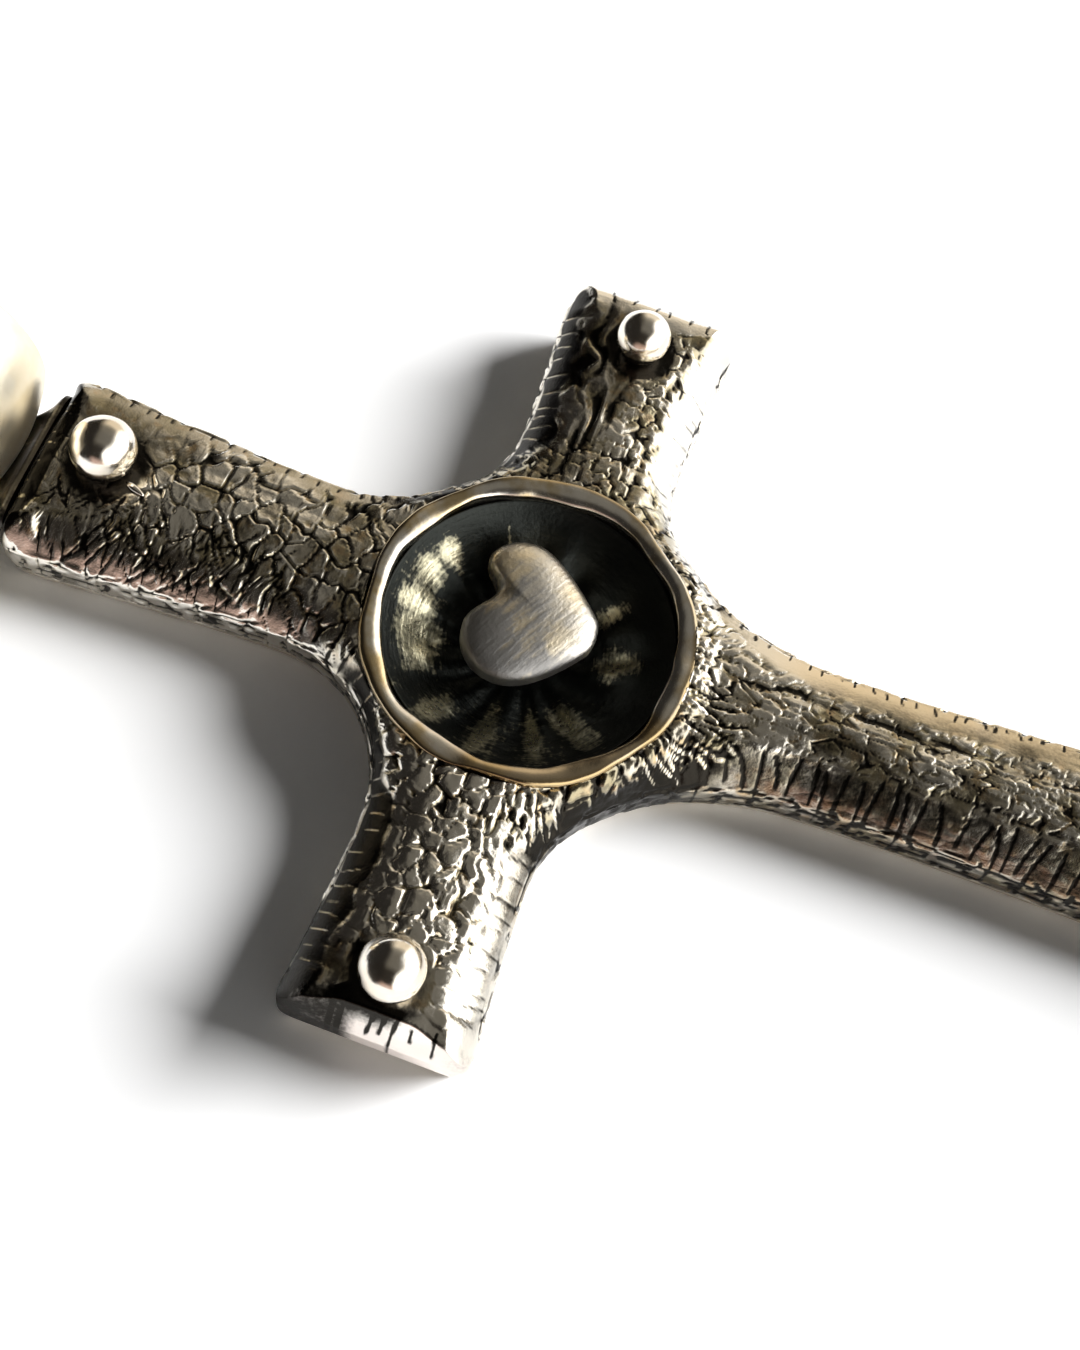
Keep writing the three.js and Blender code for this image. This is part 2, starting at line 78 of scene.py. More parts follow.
# Studio. A white table, one broad soft lamp at the far right, and a room for the polished silver to mirror.
# The room is bright low down on the right and cream beyond the pendant. It is dark on the left and on the
# near side, with a rosy patch low down.
class Wire:
    """One output of a node tree. Arithmetic on it adds Math nodes, and node() adds any other node."""

    def __init__(self, tree, socket=None):
        self.tree = tree
        self.socket = socket

    def node(self, kind, settings, inputs, output=0):
        made = self.tree.nodes.new(kind)
        for name, value in settings.items():
            setattr(made, name, value)
        for name, value in inputs.items():
            if isinstance(value, Wire):
                self.tree.links.new(value.socket, made.inputs[name])
            else:
                made.inputs[name].default_value = value
        return Wire(self.tree, made.outputs[output] if made.outputs else None)

    def maths(self, operation, *others):
        return self.node("ShaderNodeMath", {"operation": operation}, dict(enumerate((self, *others))))

    def __add__(self, other):
        return self.maths("ADD", other)

    def __mul__(self, other):
        return self.maths("MULTIPLY", other)

    def __sub__(self, other):
        return self.maths("SUBTRACT", other)

    def __rsub__(self, other):
        return self.maths("MULTIPLY_ADD", -1.0, other)

    def __truediv__(self, other):
        return self.maths("DIVIDE", other)

    __radd__ = __add__
    __rmul__ = __mul__

    def step(self, low, high):
        ends = {"Value": self, "From Min": low, "From Max": high}
        return self.node("ShaderNodeMapRange", {"interpolation_type": "SMOOTHSTEP"}, ends)

    def blend(self, first, second):
        return self.node("ShaderNodeMix", {"data_type": "RGBA"}, {0: self, 6: first, 7: second}, 2)


def part_of(vector, axis):
    """The X, Y or Z of a vector."""
    return vector.node("ShaderNodeSeparateXYZ", {}, {"Vector": vector}, axis)


def colour(red, green, blue):
    return (red, green, blue, 1.0)


room_overhead = colour(0.15, 0.14, 0.12)
room_far = colour(0.27, 0.25, 0.21)
room_cream = colour(0.92, 0.81, 0.64)
room_near = colour(0.030, 0.026, 0.022)
room_rose = colour(0.66, 0.47, 0.40)
room_dark = colour(0.022, 0.020, 0.018)
room_window = colour(2.6, 2.55, 2.45)
room_fill = colour(0.05, 0.05, 0.05)
room_backdrop = colour(1.0, 1.0, 1.0)
lamp_strength = 7.2
lamp_width = math.radians(36)
towards_lamp = Vector((0.45, -0.77, 0.45))
table_half = 1.5
table_colour = colour(0.86, 0.86, 0.86)
table_seen = colour(1.2, 1.2, 1.2)

world = bpy.data.worlds.new("room")
bpy.context.scene.world = world
world.use_nodes = True
world.node_tree.nodes.clear()
room = Wire(world.node_tree)
direction = room.node("ShaderNodeTexCoord", {}, {}, "Generated")
to_far = part_of(direction, "X")
to_left = part_of(direction, "Y")
upwards = part_of(direction, "Z")
to_near, to_right = to_far * -1, to_left * -1
shade = to_far.step(0.3, 0.9).blend(room_overhead, room_far)
shade = (to_far.step(0.45, 0.9) * (1 - upwards.step(0.42, 0.80))).blend(shade, room_cream)
shade = to_near.step(0.05, 0.5).blend(shade, room_near)
shade = (to_near.step(0.6, 0.95) * (1 - upwards.step(0.08, 0.46))).blend(shade, room_rose)
shade = to_left.step(0.12, 0.5).blend(shade, room_dark)
shade = (to_right.step(0.30, 0.55) * (1 - upwards.step(0.62, 0.9))).blend(shade, room_window)
shade = room.node("ShaderNodeLightPath", {}, {}, "Is Diffuse Ray").blend(shade, room_fill)
shade = room.node("ShaderNodeLightPath", {}, {}, "Is Camera Ray").blend(shade, room_backdrop)
lit = shade.node("ShaderNodeBackground", {}, {"Color": shade, "Strength": 1.0})
lit.node("ShaderNodeOutputWorld", {}, {"Surface": lit})

lamp_data = bpy.data.lights.new("soft_lamp", "SUN")
lamp_data.energy = lamp_strength
lamp_data.angle = lamp_width
lamp = bpy.data.objects.new("soft_lamp", lamp_data)
lamp.rotation_mode = "QUATERNION"
lamp.rotation_quaternion = towards_lamp.to_track_quat("Z", "Y")
lamp.visible_glossy = False
bpy.context.scene.collection.objects.link(lamp)

table_mesh = bpy.data.meshes.new("table")
table_corners = [(x * table_half, y * table_half, 0.0) for x, y in ((-1, -1), (1, -1), (1, 1), (-1, 1))]
table_mesh.from_pydata(table_corners, [], [(0, 1, 2, 3)])
table = bpy.data.objects.new("table", table_mesh)
bpy.context.scene.collection.objects.link(table)
table_finish = bpy.data.materials.new("table_white")
table_finish.use_nodes = True
table_finish.node_tree.nodes.clear()
paper = Wire(table_finish.node_tree)
seen = paper.node("ShaderNodeLightPath", {}, {}, "Is Camera Ray")
mirrored = paper.node("ShaderNodeLightPath", {}, {}, "Is Glossy Ray")
through = paper.node("ShaderNodeLightPath", {}, {}, "Is Transmission Ray")
paper_colour = (seen + mirrored + through).blend(table_colour, table_seen)
matt = paper.node("ShaderNodeBsdfDiffuse", {}, {"Color": paper_colour})
matt.node("ShaderNodeOutputMaterial", {}, {"Surface": matt})
table_mesh.materials.append(table_finish)
bpy.context.scene.view_settings.view_transform = "Standard"


# Front shell. The face of the cross: a sheet of silver with a crackled skin, domed across each arm, bent
# down to a tray at its edges, notched with a graver along the bevels, then oxidised and rubbed bright.
# Shade is painted on the sides away from the light and round the balls, and reflections on some bevels.
shell_low, shell_high = [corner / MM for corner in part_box("front_shell")]
sheet_bottom = shell_low.z
sheet_wall = 0.9
RIGHT, TOP, LEFT, FOOT = range(4)
arm_sizes = {
    "length": (shell_high.x, shell_high.y, -shell_low.x, -shell_low.y),
    "end": (4.75, 5.0, 4.75, 4.9),
    "neck": (4.2, 4.1, 4.2, 3.4),
    "neck_at": (11.5, 11.5, 11.5, 15.5),
    "flare": (1.4, 1.4, 1.4, 2.0),
    "end_shoulder": (0.9, 0.8, 0.9, 0.6),
    "cell_along": (0.95, 1.05, 1.05, 1.15),
    "cell_across": (0.75, 1.45, 0.95, 0.62),
    "cell_height": (0.085, 0.090, 0.115, 0.075),
    "cell_dome": (1.0, 0.3, 1.6, 0.8),
    "calm_from": (3.0, 8.0, 4.6, 7.0),
    "wrinkled": (0.5, 0.0, 0.1, 0.6),
    "face_tone": (-0.17, 0.04, 0.24, 0.15),
}
arms = [dict(zip(arm_sizes, sizes)) for sizes in zip(*arm_sizes.values())]
foot_lean = math.tan(math.radians(2.2))
lean_from = 6.23
corner_rounding = 0.55
soft_rounding = 1.05
soft_corners = [
    (arms[RIGHT]["length"], arms[RIGHT]["end"]),
    (arms[TOP]["end"], arms[TOP]["length"]),
    (-arms[TOP]["end"], arms[TOP]["length"]),
]
normal_rounding = 0.9
foot_inset = 0.35
bulge_height = 2.2
side_top = 3.15
far_side_top = 4.35
crown_height = shell_high.z
crown_drop = 0.30
side_shoulder = 2.2
corner_shoulder = 0.5
end_run = 2.2
seat_margin = 0.12
collar_height = 0.34
seat_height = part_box("bezel_ring")[0].z / MM
seat_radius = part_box("bezel_ring")[1].x / MM + 0.04
dish_bore = 6.8
hatch_radius = 9.2
burr_shift = 0.15
fine_columns = 12480


def eased(values, low, high):
    """Goes smoothly from 0 at the low end to 1 at the high end."""
    share = np.clip((values - low) / (high - low), 0, 1)
    return share * share * (3 - 2 * share)


def between(values, rise_from, rise_to, fall_from, fall_to):
    """Goes smoothly up from 0 to 1, and back to 0 further on."""
    return eased(values, rise_from, rise_to) * (1 - eased(values, fall_from, fall_to))


def angles_round(count):
    """That many even angles round a circle, in radians."""
    return np.arange(count) * 2 * math.pi / count


def lean_at(y):
    return foot_lean * np.maximum(0.0, -y - lean_from)


def softened(values, reach):
    """A closed row of values, each mixed with its neighbours by a bell curve of that reach."""
    count = len(values)
    offset = np.minimum(np.arange(count), count - np.arange(count))
    bell = np.exp(-0.5 * (offset / reach) ** 2)
    wave = np.fft.rfft(bell / bell.sum())
    return np.stack([np.fft.irfft(np.fft.rfft(v) * wave, count) for v in values.T], 1)


def cross_outline():
    """The sharp outline of the cross in plan, counter-clockwise from the right arm."""
    pieces = []
    for quarter, arm in enumerate(arms):
        neighbour = arms[(quarter + 1) % 4]
        share = np.linspace(0.0, 1.0, 400)
        along = arm["neck_at"] + (arm["length"] - arm["neck_at"]) * share
        half = arm["neck"] + (arm["end"] - arm["neck"]) * share ** arm["flare"]
        side = np.column_stack([along, half])
        wall = np.column_stack([np.full(200, arm["length"]), np.linspace(-arm["end"], arm["end"], 200)])
        bend = share * math.pi / 2
        hollow = np.column_stack([
            arm["neck_at"] - (arm["neck_at"] - neighbour["neck"]) * np.sin(bend),
            neighbour["neck_at"] - (neighbour["neck_at"] - arm["neck"]) * np.cos(bend),
        ])
        loop = np.concatenate([side[:-1] * (1, -1), wall[:-1], side[::-1][:-1], hollow[:-1]])
        angle = quarter * math.pi / 2
        turn = np.array([[math.cos(angle), math.sin(angle)], [-math.sin(angle), math.cos(angle)]])
        pieces.append(loop @ turn)
    outline = np.concatenate(pieces)
    outline[:, 0] += lean_at(outline[:, 1])
    return outline


def evenly(points, count):
    """The same closed line with its points at equal steps, and its length."""
    closed = np.vstack([points, points[:1]])
    run = np.concatenate([[0.0], np.cumsum(np.linalg.norm(np.diff(closed, axis=0), axis=1))])
    places = np.arange(count) * run[-1] / count
    return np.column_stack([np.interp(places, run, closed[:, k]) for k in (0, 1)]), run[-1]


sharp_outline, outline_length = evenly(cross_outline(), fine_columns)
fine_step = outline_length / fine_columns
fine_outline = softened(sharp_outline, corner_rounding / fine_step)
soft_outline = softened(sharp_outline, soft_rounding / fine_step)
for corner in soft_corners:
    beside = 1 - eased(np.hypot(*(sharp_outline - corner).T), 1.5, 4.0)
    fine_outline += beside[:, None] * (soft_outline - fine_outline)
tangent = np.roll(fine_outline, -1, 0) - np.roll(fine_outline, 1, 0)


def facing_out(reach):
    """Unit normals of the outline in plan, turned smoothly over that many millimetres at its corners."""
    normal = softened(np.column_stack([tangent[:, 1], -tangent[:, 0]]), reach / fine_step)
    return normal / np.linalg.norm(normal, axis=1, keepdims=True)


def arm_places(plan):
    """For plan points: the arm that each is on, and how far along and across that arm it is."""
    x = plan[:, 0] - lean_at(plan[:, 1])
    y = plan[:, 1]
    angle = np.degrees(np.arctan2(y, x)) % 360
    arm = np.select([angle < 45, angle < 135, angle < 233, angle < 307], [RIGHT, TOP, LEFT, FOOT], RIGHT)
    return arm, np.choose(arm, [x, y, -x, -y]), np.choose(arm, [y, -x, -y, x])


def arm_values(key, arm):
    return np.array(arm_sizes[key])[arm]


def from_end(plan):
    arm, along, _ = arm_places(plan)
    return arm_values("length", arm) - along


def past_neck(along, arm):
    """How far along its arm a place is, from 0 at the neck to 1 at the end."""
    neck_at = arm_values("neck_at", arm)
    return np.clip((along - neck_at) / (arm_values("length", arm) - neck_at), 0, 1)


def crown_at(plan):
    """Height of the domed face over plan points. It drops a little towards the end walls."""
    arm, along, across = arm_places(plan)
    neck = arm_values("neck", arm)
    spread = np.clip((arm_values("neck_at", arm) - along) / 5, 0, 1)
    half = neck + (arm_values("end", arm) - neck) * past_neck(along, arm) ** 1.6 + 2.6 * spread ** 2
    part = np.clip(np.abs(across) / (half - side_shoulder), 0, 1)
    into = np.clip(1 - from_end(plan) / 1.6, 0, 1)
    return crown_height - crown_drop * part ** 2 - 0.3 * into ** 2


def bevelled(share):
    """Rise of the bevel from 0 at the edge to 1 at the crown."""
    return (1 - (1 - np.clip(share, 0, 1)) ** 1.5) ** 0.81


def under_bevel(plan, level, inwards):
    """The level at plan points, kept under the bevels of an arm's long sides, which run out at its end."""
    arm, along, across = arm_places(plan)
    neck = arm_values("neck", arm)
    half = neck + (arm_values("end", arm) - neck) * past_neck(along, arm) ** arm_values("flare", arm)
    gap = half - np.abs(across) + 1.5 * np.maximum(from_end(plan) - side_shoulder, 0)
    on_far_side = ((arm == TOP) & (across < 0)) | ((arm == FOOT) & (across > 0))
    low = np.where(on_far_side, far_side_top, side_top)
    return np.minimum(level, low + (crown_height - low) * bevelled(gap / side_shoulder) - inwards)


def side_rings(outline, normal, walls, shoulders, inwards, hub_radius):
    """Rings of points round the cross, from the foot of the sheet up over the bevel to the crown, and how
    far each is in from the edge."""
    arm, _, across = arm_places(outline)
    to_corner = arm_values("end", arm) - np.abs(across)
    soft = (arm == TOP) | ((arm == RIGHT) & (across > 0))
    square = np.where(soft, 0, 1 - eased(to_corner, 1.2, 3.2))
    end_shoulder = corner_shoulder if inwards else arm_values("end_shoulder", arm)
    end_shoulder = end_shoulder + (corner_shoulder - end_shoulder) * square
    shoulder = end_shoulder + (side_shoulder - end_shoulder) * np.clip(from_end(outline) / end_run, 0, 1) ** 2
    shoulder = np.minimum(shoulder, np.hypot(*outline.T) - inwards - hub_radius - seat_margin)
    top = crown_at(outline - normal * (shoulder + inwards)[:, None]) - inwards
    low = side_top + (far_side_top - side_top) * eased(normal[:, 0], 0.3, 0.8) - inwards
    low = under_bevel(outline, low, inwards)
    straight = (arm == LEFT) * (1 - eased(from_end(outline), 0.1, 0.8)) * (1 - square)
    rings = []
    insets = []
    for share in np.linspace(0, 1, walls, endpoint=False):
        level = sheet_bottom + (low - sheet_bottom) * share
        bulge = np.maximum(0.0, 1 - (level - sheet_bottom) / (bulge_height - sheet_bottom))
        plan = outline - normal * (foot_inset * bulge ** 2 + inwards)[:, None]
        rings.append(np.column_stack([plan, level]))
        insets.append(np.zeros(len(outline)))
    for share in np.linspace(0, 1, shoulders) ** 1.5:
        plan = outline - normal * (shoulder * share + inwards)[:, None]
        rise = bevelled(share) + (share - bevelled(share)) * straight
        level = under_bevel(plan, low + (top - low) * rise, inwards)
        rings.append(np.column_stack([plan, np.maximum(level, low) if share else low]))
        insets.append(shoulder * share)
    return rings, insets


def face_points(ring, normal, pitch, hole_radius, hole_at=(0.0, 0.0)):
    """Points inside a ring round the cross and outside a round hole: the hole's circle, then a grid."""
    around = round(len(ring) * 2 * math.pi * hole_radius / outline_length / 4) * 4
    angles = angles_round(around)
    hole = hole_radius * np.column_stack([np.cos(angles), np.sin(angles)]) + hole_at
    xs = np.arange(shell_low.x, shell_high.x, pitch)
    ys = np.arange(shell_low.y, shell_high.y, pitch * math.sqrt(0.75))
    grid_x, grid_y = np.meshgrid(xs, ys)
    grid_x[1::2] += 0.5 * pitch
    grid = np.column_stack([grid_x.ravel(), grid_y.ravel()])
    arm, along, across = arm_places(grid)
    widest = arm_values("end", arm) + np.clip((arm_values("neck_at", arm) - along) / 2, 0, 3)
    grid = grid[(np.abs(across) < widest) & (np.hypot(*(grid - hole_at).T) > hole_radius + 0.6 * pitch)]
    tree = KDTree(len(ring))
    for i, (x, y) in enumerate(ring):
        tree.insert((x, y, 0.0), i)
    tree.balance()
    plan = np.concatenate([hole, grid])
    nearest = np.array([tree.find((x, y, 0.0))[1] for x, y in plan])
    depth = -np.sum((plan - ring[nearest]) * normal[nearest], 1)
    kept = (depth > 0.6 * pitch) | (np.arange(len(plan)) < around)
    return plan[kept], nearest[kept], around


def filled(points, count, around):
    """Triangles over the face, between the outer ring and the hole's circle."""
    edges = [(i, (i + 1) % count) for i in range(count)]
    edges += [(count + i, count + (i + 1) % around) for i in range(around)]
    made = delaunay_2d_cdt([Vector(p) for p in points.tolist()], edges, [], 1, 1e-7)
    sources = np.array([min(source) for source in made[3]])
    faces = sources[np.array(made[2])]
    corners = points[faces]
    first, second = corners[:, 1] - corners[:, 0], corners[:, 2] - corners[:, 0]
    over = first[:, 0] * second[:, 1] - first[:, 1] * second[:, 0] < 0
    faces[over] = faces[over][:, ::-1]
    in_hole = np.all((faces >= count) & (faces < count + around), axis=1)
    return faces[~in_hole]


def band(low_first, high_first, count):
    """Triangles between two closed rows of points, given the number of each row's first point."""
    here = np.arange(count)
    after = (here + 1) % count
    return [
        np.column_stack([low_first + here, low_first + after, high_first + after]),
        np.column_stack([low_first + here, high_first + after, high_first + here]),
    ]


def shell_skin(step, walls, shoulders, pitch, inwards, hub_radius):
    """The sheet's outer skin, or its inner one: points, triangles, and each point's run round the cross,
    climb from the foot and inset from the edge."""
    outline = fine_outline[::step]
    normal = facing_out(normal_rounding + 2 * inwards)[::step]
    count = len(outline)
    rings, insets = side_rings(outline, normal, walls, shoulders, inwards, hub_radius)
    here = np.arange(count)
    strips = []
    for r in range(len(rings) - 1):
        strips += band(r * count, (r + 1) * count, count)
    climbs = np.cumsum([np.zeros(count)] + [
        np.linalg.norm(above - below, axis=1) for below, above in zip(rings, rings[1:])
    ], axis=0)
    ring = rings[-1][:, :2]
    plan, nearest, around = face_points(ring, normal, pitch, hub_radius)
    face = filled(np.concatenate([ring, plan]), count, around)
    level = under_bevel(plan, crown_at(plan) - inwards, inwards)
    if inwards:
        level = np.where(np.hypot(*plan.T) < seat_radius + inwards, seat_height - inwards, level)
    top = (len(rings) - 1) * count
    from_ring = np.linalg.norm(plan - ring[nearest], axis=1)
    return {
        "points": np.concatenate(rings + [np.column_stack([plan, level])]),
        "triangles": np.concatenate(strips + [face + top]),
        "run": np.concatenate([np.tile(here, len(rings)), nearest]) * step * fine_step,
        "climb": np.concatenate([climbs.ravel(), climbs[-1][nearest] + from_ring]),
        "inset": np.concatenate(insets + [insets[-1][nearest] + from_ring]),
        "foot": here,
        "hub": top + count + np.arange(around),
        "top": top,
    }


def lip(fine, coarse):
    """Triangles that close the edge between a fine ring of points and one with fewer of them."""
    ratio = len(fine) / len(coarse)
    triangles = []
    for i in range(len(fine)):
        now, soon = int((i + 0.5) / ratio), int((i + 1.5) / ratio)
        here, after = coarse[now % len(coarse)], coarse[soon % len(coarse)]
        triangles.append((fine[i], here, fine[(i + 1) % len(fine)]))
        if here != after:
            triangles.append((fine[(i + 1) % len(fine)], here, after))
    return np.array(triangles)


def point_normals(points, triangles):
    """The normal at each point, from the triangles that meet there."""
    corners = points[triangles]
    faces = np.cross(corners[:, 1] - corners[:, 0], corners[:, 2] - corners[:, 0])
    normals = np.zeros_like(points)
    for k in range(3):
        np.add.at(normals, triangles[:, k], faces)
    return normals / np.maximum(np.linalg.norm(normals, axis=1, keepdims=True), 1e-12)


def rolling(u, v, seed):
    """Smooth random waves about one unit long, from -1 to 1."""
    table = np.random.default_rng(seed).uniform(-1, 1, (89, 97))
    cu, cv = np.floor(u).astype(int), np.floor(v).astype(int)
    fu, fv = eased(u - cu, 0, 1), eased(v - cv, 0, 1)
    corner = [[table[(cu + i) % 89, (cv + j) % 97] for j in (0, 1)] for i in (0, 1)]
    left = corner[0][0] * (1 - fv) + corner[0][1] * fv
    right = corner[1][0] * (1 - fv) + corner[1][1] * fv
    return left * (1 - fu) + right * fu


def crackle(u, v, seed):
    """Random cells one unit wide: how far each place is from its cell's edge, the cell's own random
    number, and the way from the cell's middle to the place."""
    table = np.random.default_rng(seed).uniform(0, 1, (3, 89, 97))
    cu, cv = np.floor(u).astype(int), np.floor(v).astype(int)
    first = np.full(u.shape, 9.0)
    second = first.copy()
    number, away_u, away_v = np.zeros_like(u), np.zeros_like(u), np.zeros_like(u)
    for i in (-1, 0, 1):
        for j in (-1, 0, 1):
            a, b = (cu + i) % 89, (cv + j) % 97
            du = u - cu - i - 0.08 - 0.84 * table[0][a, b]
            dv = v - cv - j - 0.08 - 0.84 * table[1][a, b]
            reach = np.hypot(du, dv)
            closer = reach < first
            second = np.where(closer, first, np.minimum(second, reach))
            number = np.where(closer, table[2][a, b], number)
            away_u, away_v = np.where(closer, du, away_u), np.where(closer, dv, away_v)
            first = np.where(closer, reach, first)
    return second - first, number, away_u, away_v


def scales(u, v, seed, sharp, domed=0.4):
    """Height of the cracked skin: cells with tilted or domed tops, thin raised lips and cracks between."""
    edge, number, du, dv = crackle(u + 0.35 * rolling(1.3 * u, 1.3 * v, seed + 1),
                                   v + 0.35 * rolling(1.3 * u, 1.3 * v, seed + 2), seed)
    turn = 2 * math.pi * number
    slope = (du * np.cos(turn) + dv * np.sin(turn)) * (0.3 + 0.9 * np.sin(9 * turn) ** 2)
    crack = 1 - eased(edge, 0.0, sharp)
    raised = between(edge, 0.3 * sharp, 1.1 * sharp, 1.1 * sharp, 2.2 * sharp)
    dome = 1 - 1.6 * (du * du + dv * dv)
    return domed * dome + 0.8 * slope + 0.35 * (number - 0.5) + 0.5 * raised - 1.2 * crack


ball_seats = []
for ball_name in ("ball_pin_top", "ball_pin_right", "ball_pin_left", "ball_pin_foot"):
    ball_low, ball_high = [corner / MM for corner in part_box(ball_name)]
    ball_middle = (ball_low + ball_high) / 2
    ball_seats.append((ball_name, ball_middle.x, ball_middle.y, (ball_high.x - ball_low.x) / 2))


def scored(u, v, cuts):
    """Straight graver cuts over places: their depth, and how far each place is inside one. A cut has its
    middle, slant, reach, width and depth."""
    order = np.argsort(u)
    rising = u[order]
    depth = np.zeros_like(u)
    inside = np.zeros_like(u)
    for middle_u, middle_v, slant, reach, width, deep in cuts:
        low, high = np.searchsorted(rising, (middle_u - 1.5, middle_u + 1.5))
        near = order[low:high]
        dv = v[near] - middle_v
        du = u[near] - middle_u - slant * dv - 0.5 * slant * dv * dv
        groove = np.clip(1 - np.abs(du) / width, 0, 1) * np.clip(2.5 * (1 - np.abs(dv) / reach), 0, 1)
        depth[near] = np.maximum(depth[near], deep * groove)
        inside[near] = np.maximum(inside[near], groove)
    return depth, inside


def bevel_cuts():
    """Notches across the bevels and the end edges, as runs and insets, longer beside the foot arm."""
    chance = np.random.default_rng(5)
    cuts = []
    place = 0.3
    while place < outline_length:
        at = fine_outline[int(place / fine_step) % fine_columns][None]
        arm, _, across = arm_places(at)
        at_end = from_end(at)[0] < 0.5
        at_corner = from_end(at)[0] < 1.6 and abs(across[0]) > arms[arm[0]]["end"] - 1.4
        near_side = arm[0] == FOOT and across[0] < 0
        far_side = (arm[0] == FOOT and across[0] > 0) or (arm[0] == TOP and across[0] < 0)
        if at_end:
            reach, middle = chance.uniform(0.25, 0.7), 0.55
        elif far_side:
            reach, middle = chance.uniform(0.15, 0.40), chance.uniform(0.15, 0.35)
        elif near_side:
            reach, middle = chance.uniform(0.7, 1.15), chance.uniform(0.75, 1.1)
        else:
            reach, middle = chance.uniform(0.35, 0.95), chance.uniform(0.4, 0.9)
        cut = (place, middle, chance.uniform(-0.3, 0.3), reach, 0.10, chance.uniform(0.012, 0.035))
        if not at_corner:
            cuts.append(cut)
        place += chance.uniform(0.4, 1.6) if at_end else chance.uniform(0.5, 1.2)
    return cuts


def hub_cuts():
    """Close radial cuts beside the bezel, in the corner between the left arm and the foot."""
    chance = np.random.default_rng(6)
    cuts = []
    for angle in np.arange(math.radians(186), math.radians(272), 0.36 / hatch_radius):
        middle = chance.uniform(9.0, 10.8)
        slant, reach = chance.uniform(-0.35, 0.35), chance.uniform(0.6, 1.3)
        cuts.append((angle * hatch_radius, middle, slant, reach, 0.11, chance.uniform(0.06, 0.12)))
    return cuts


def crossed_cuts():
    """Crossed cuts over the near half of the top arm, as middles along and across it."""
    chance = np.random.default_rng(8)
    cuts = []
    for _ in range(64):
        middle = chance.uniform(11.5, 25.0), chance.uniform(0.8, 4.0)
        slant = chance.choice((-1, 1)) * chance.uniform(0.3, 1.1)
        cuts.append((*middle, slant, chance.uniform(0.5, 1.4), 0.085, chance.uniform(0.05, 0.09)))
    return cuts


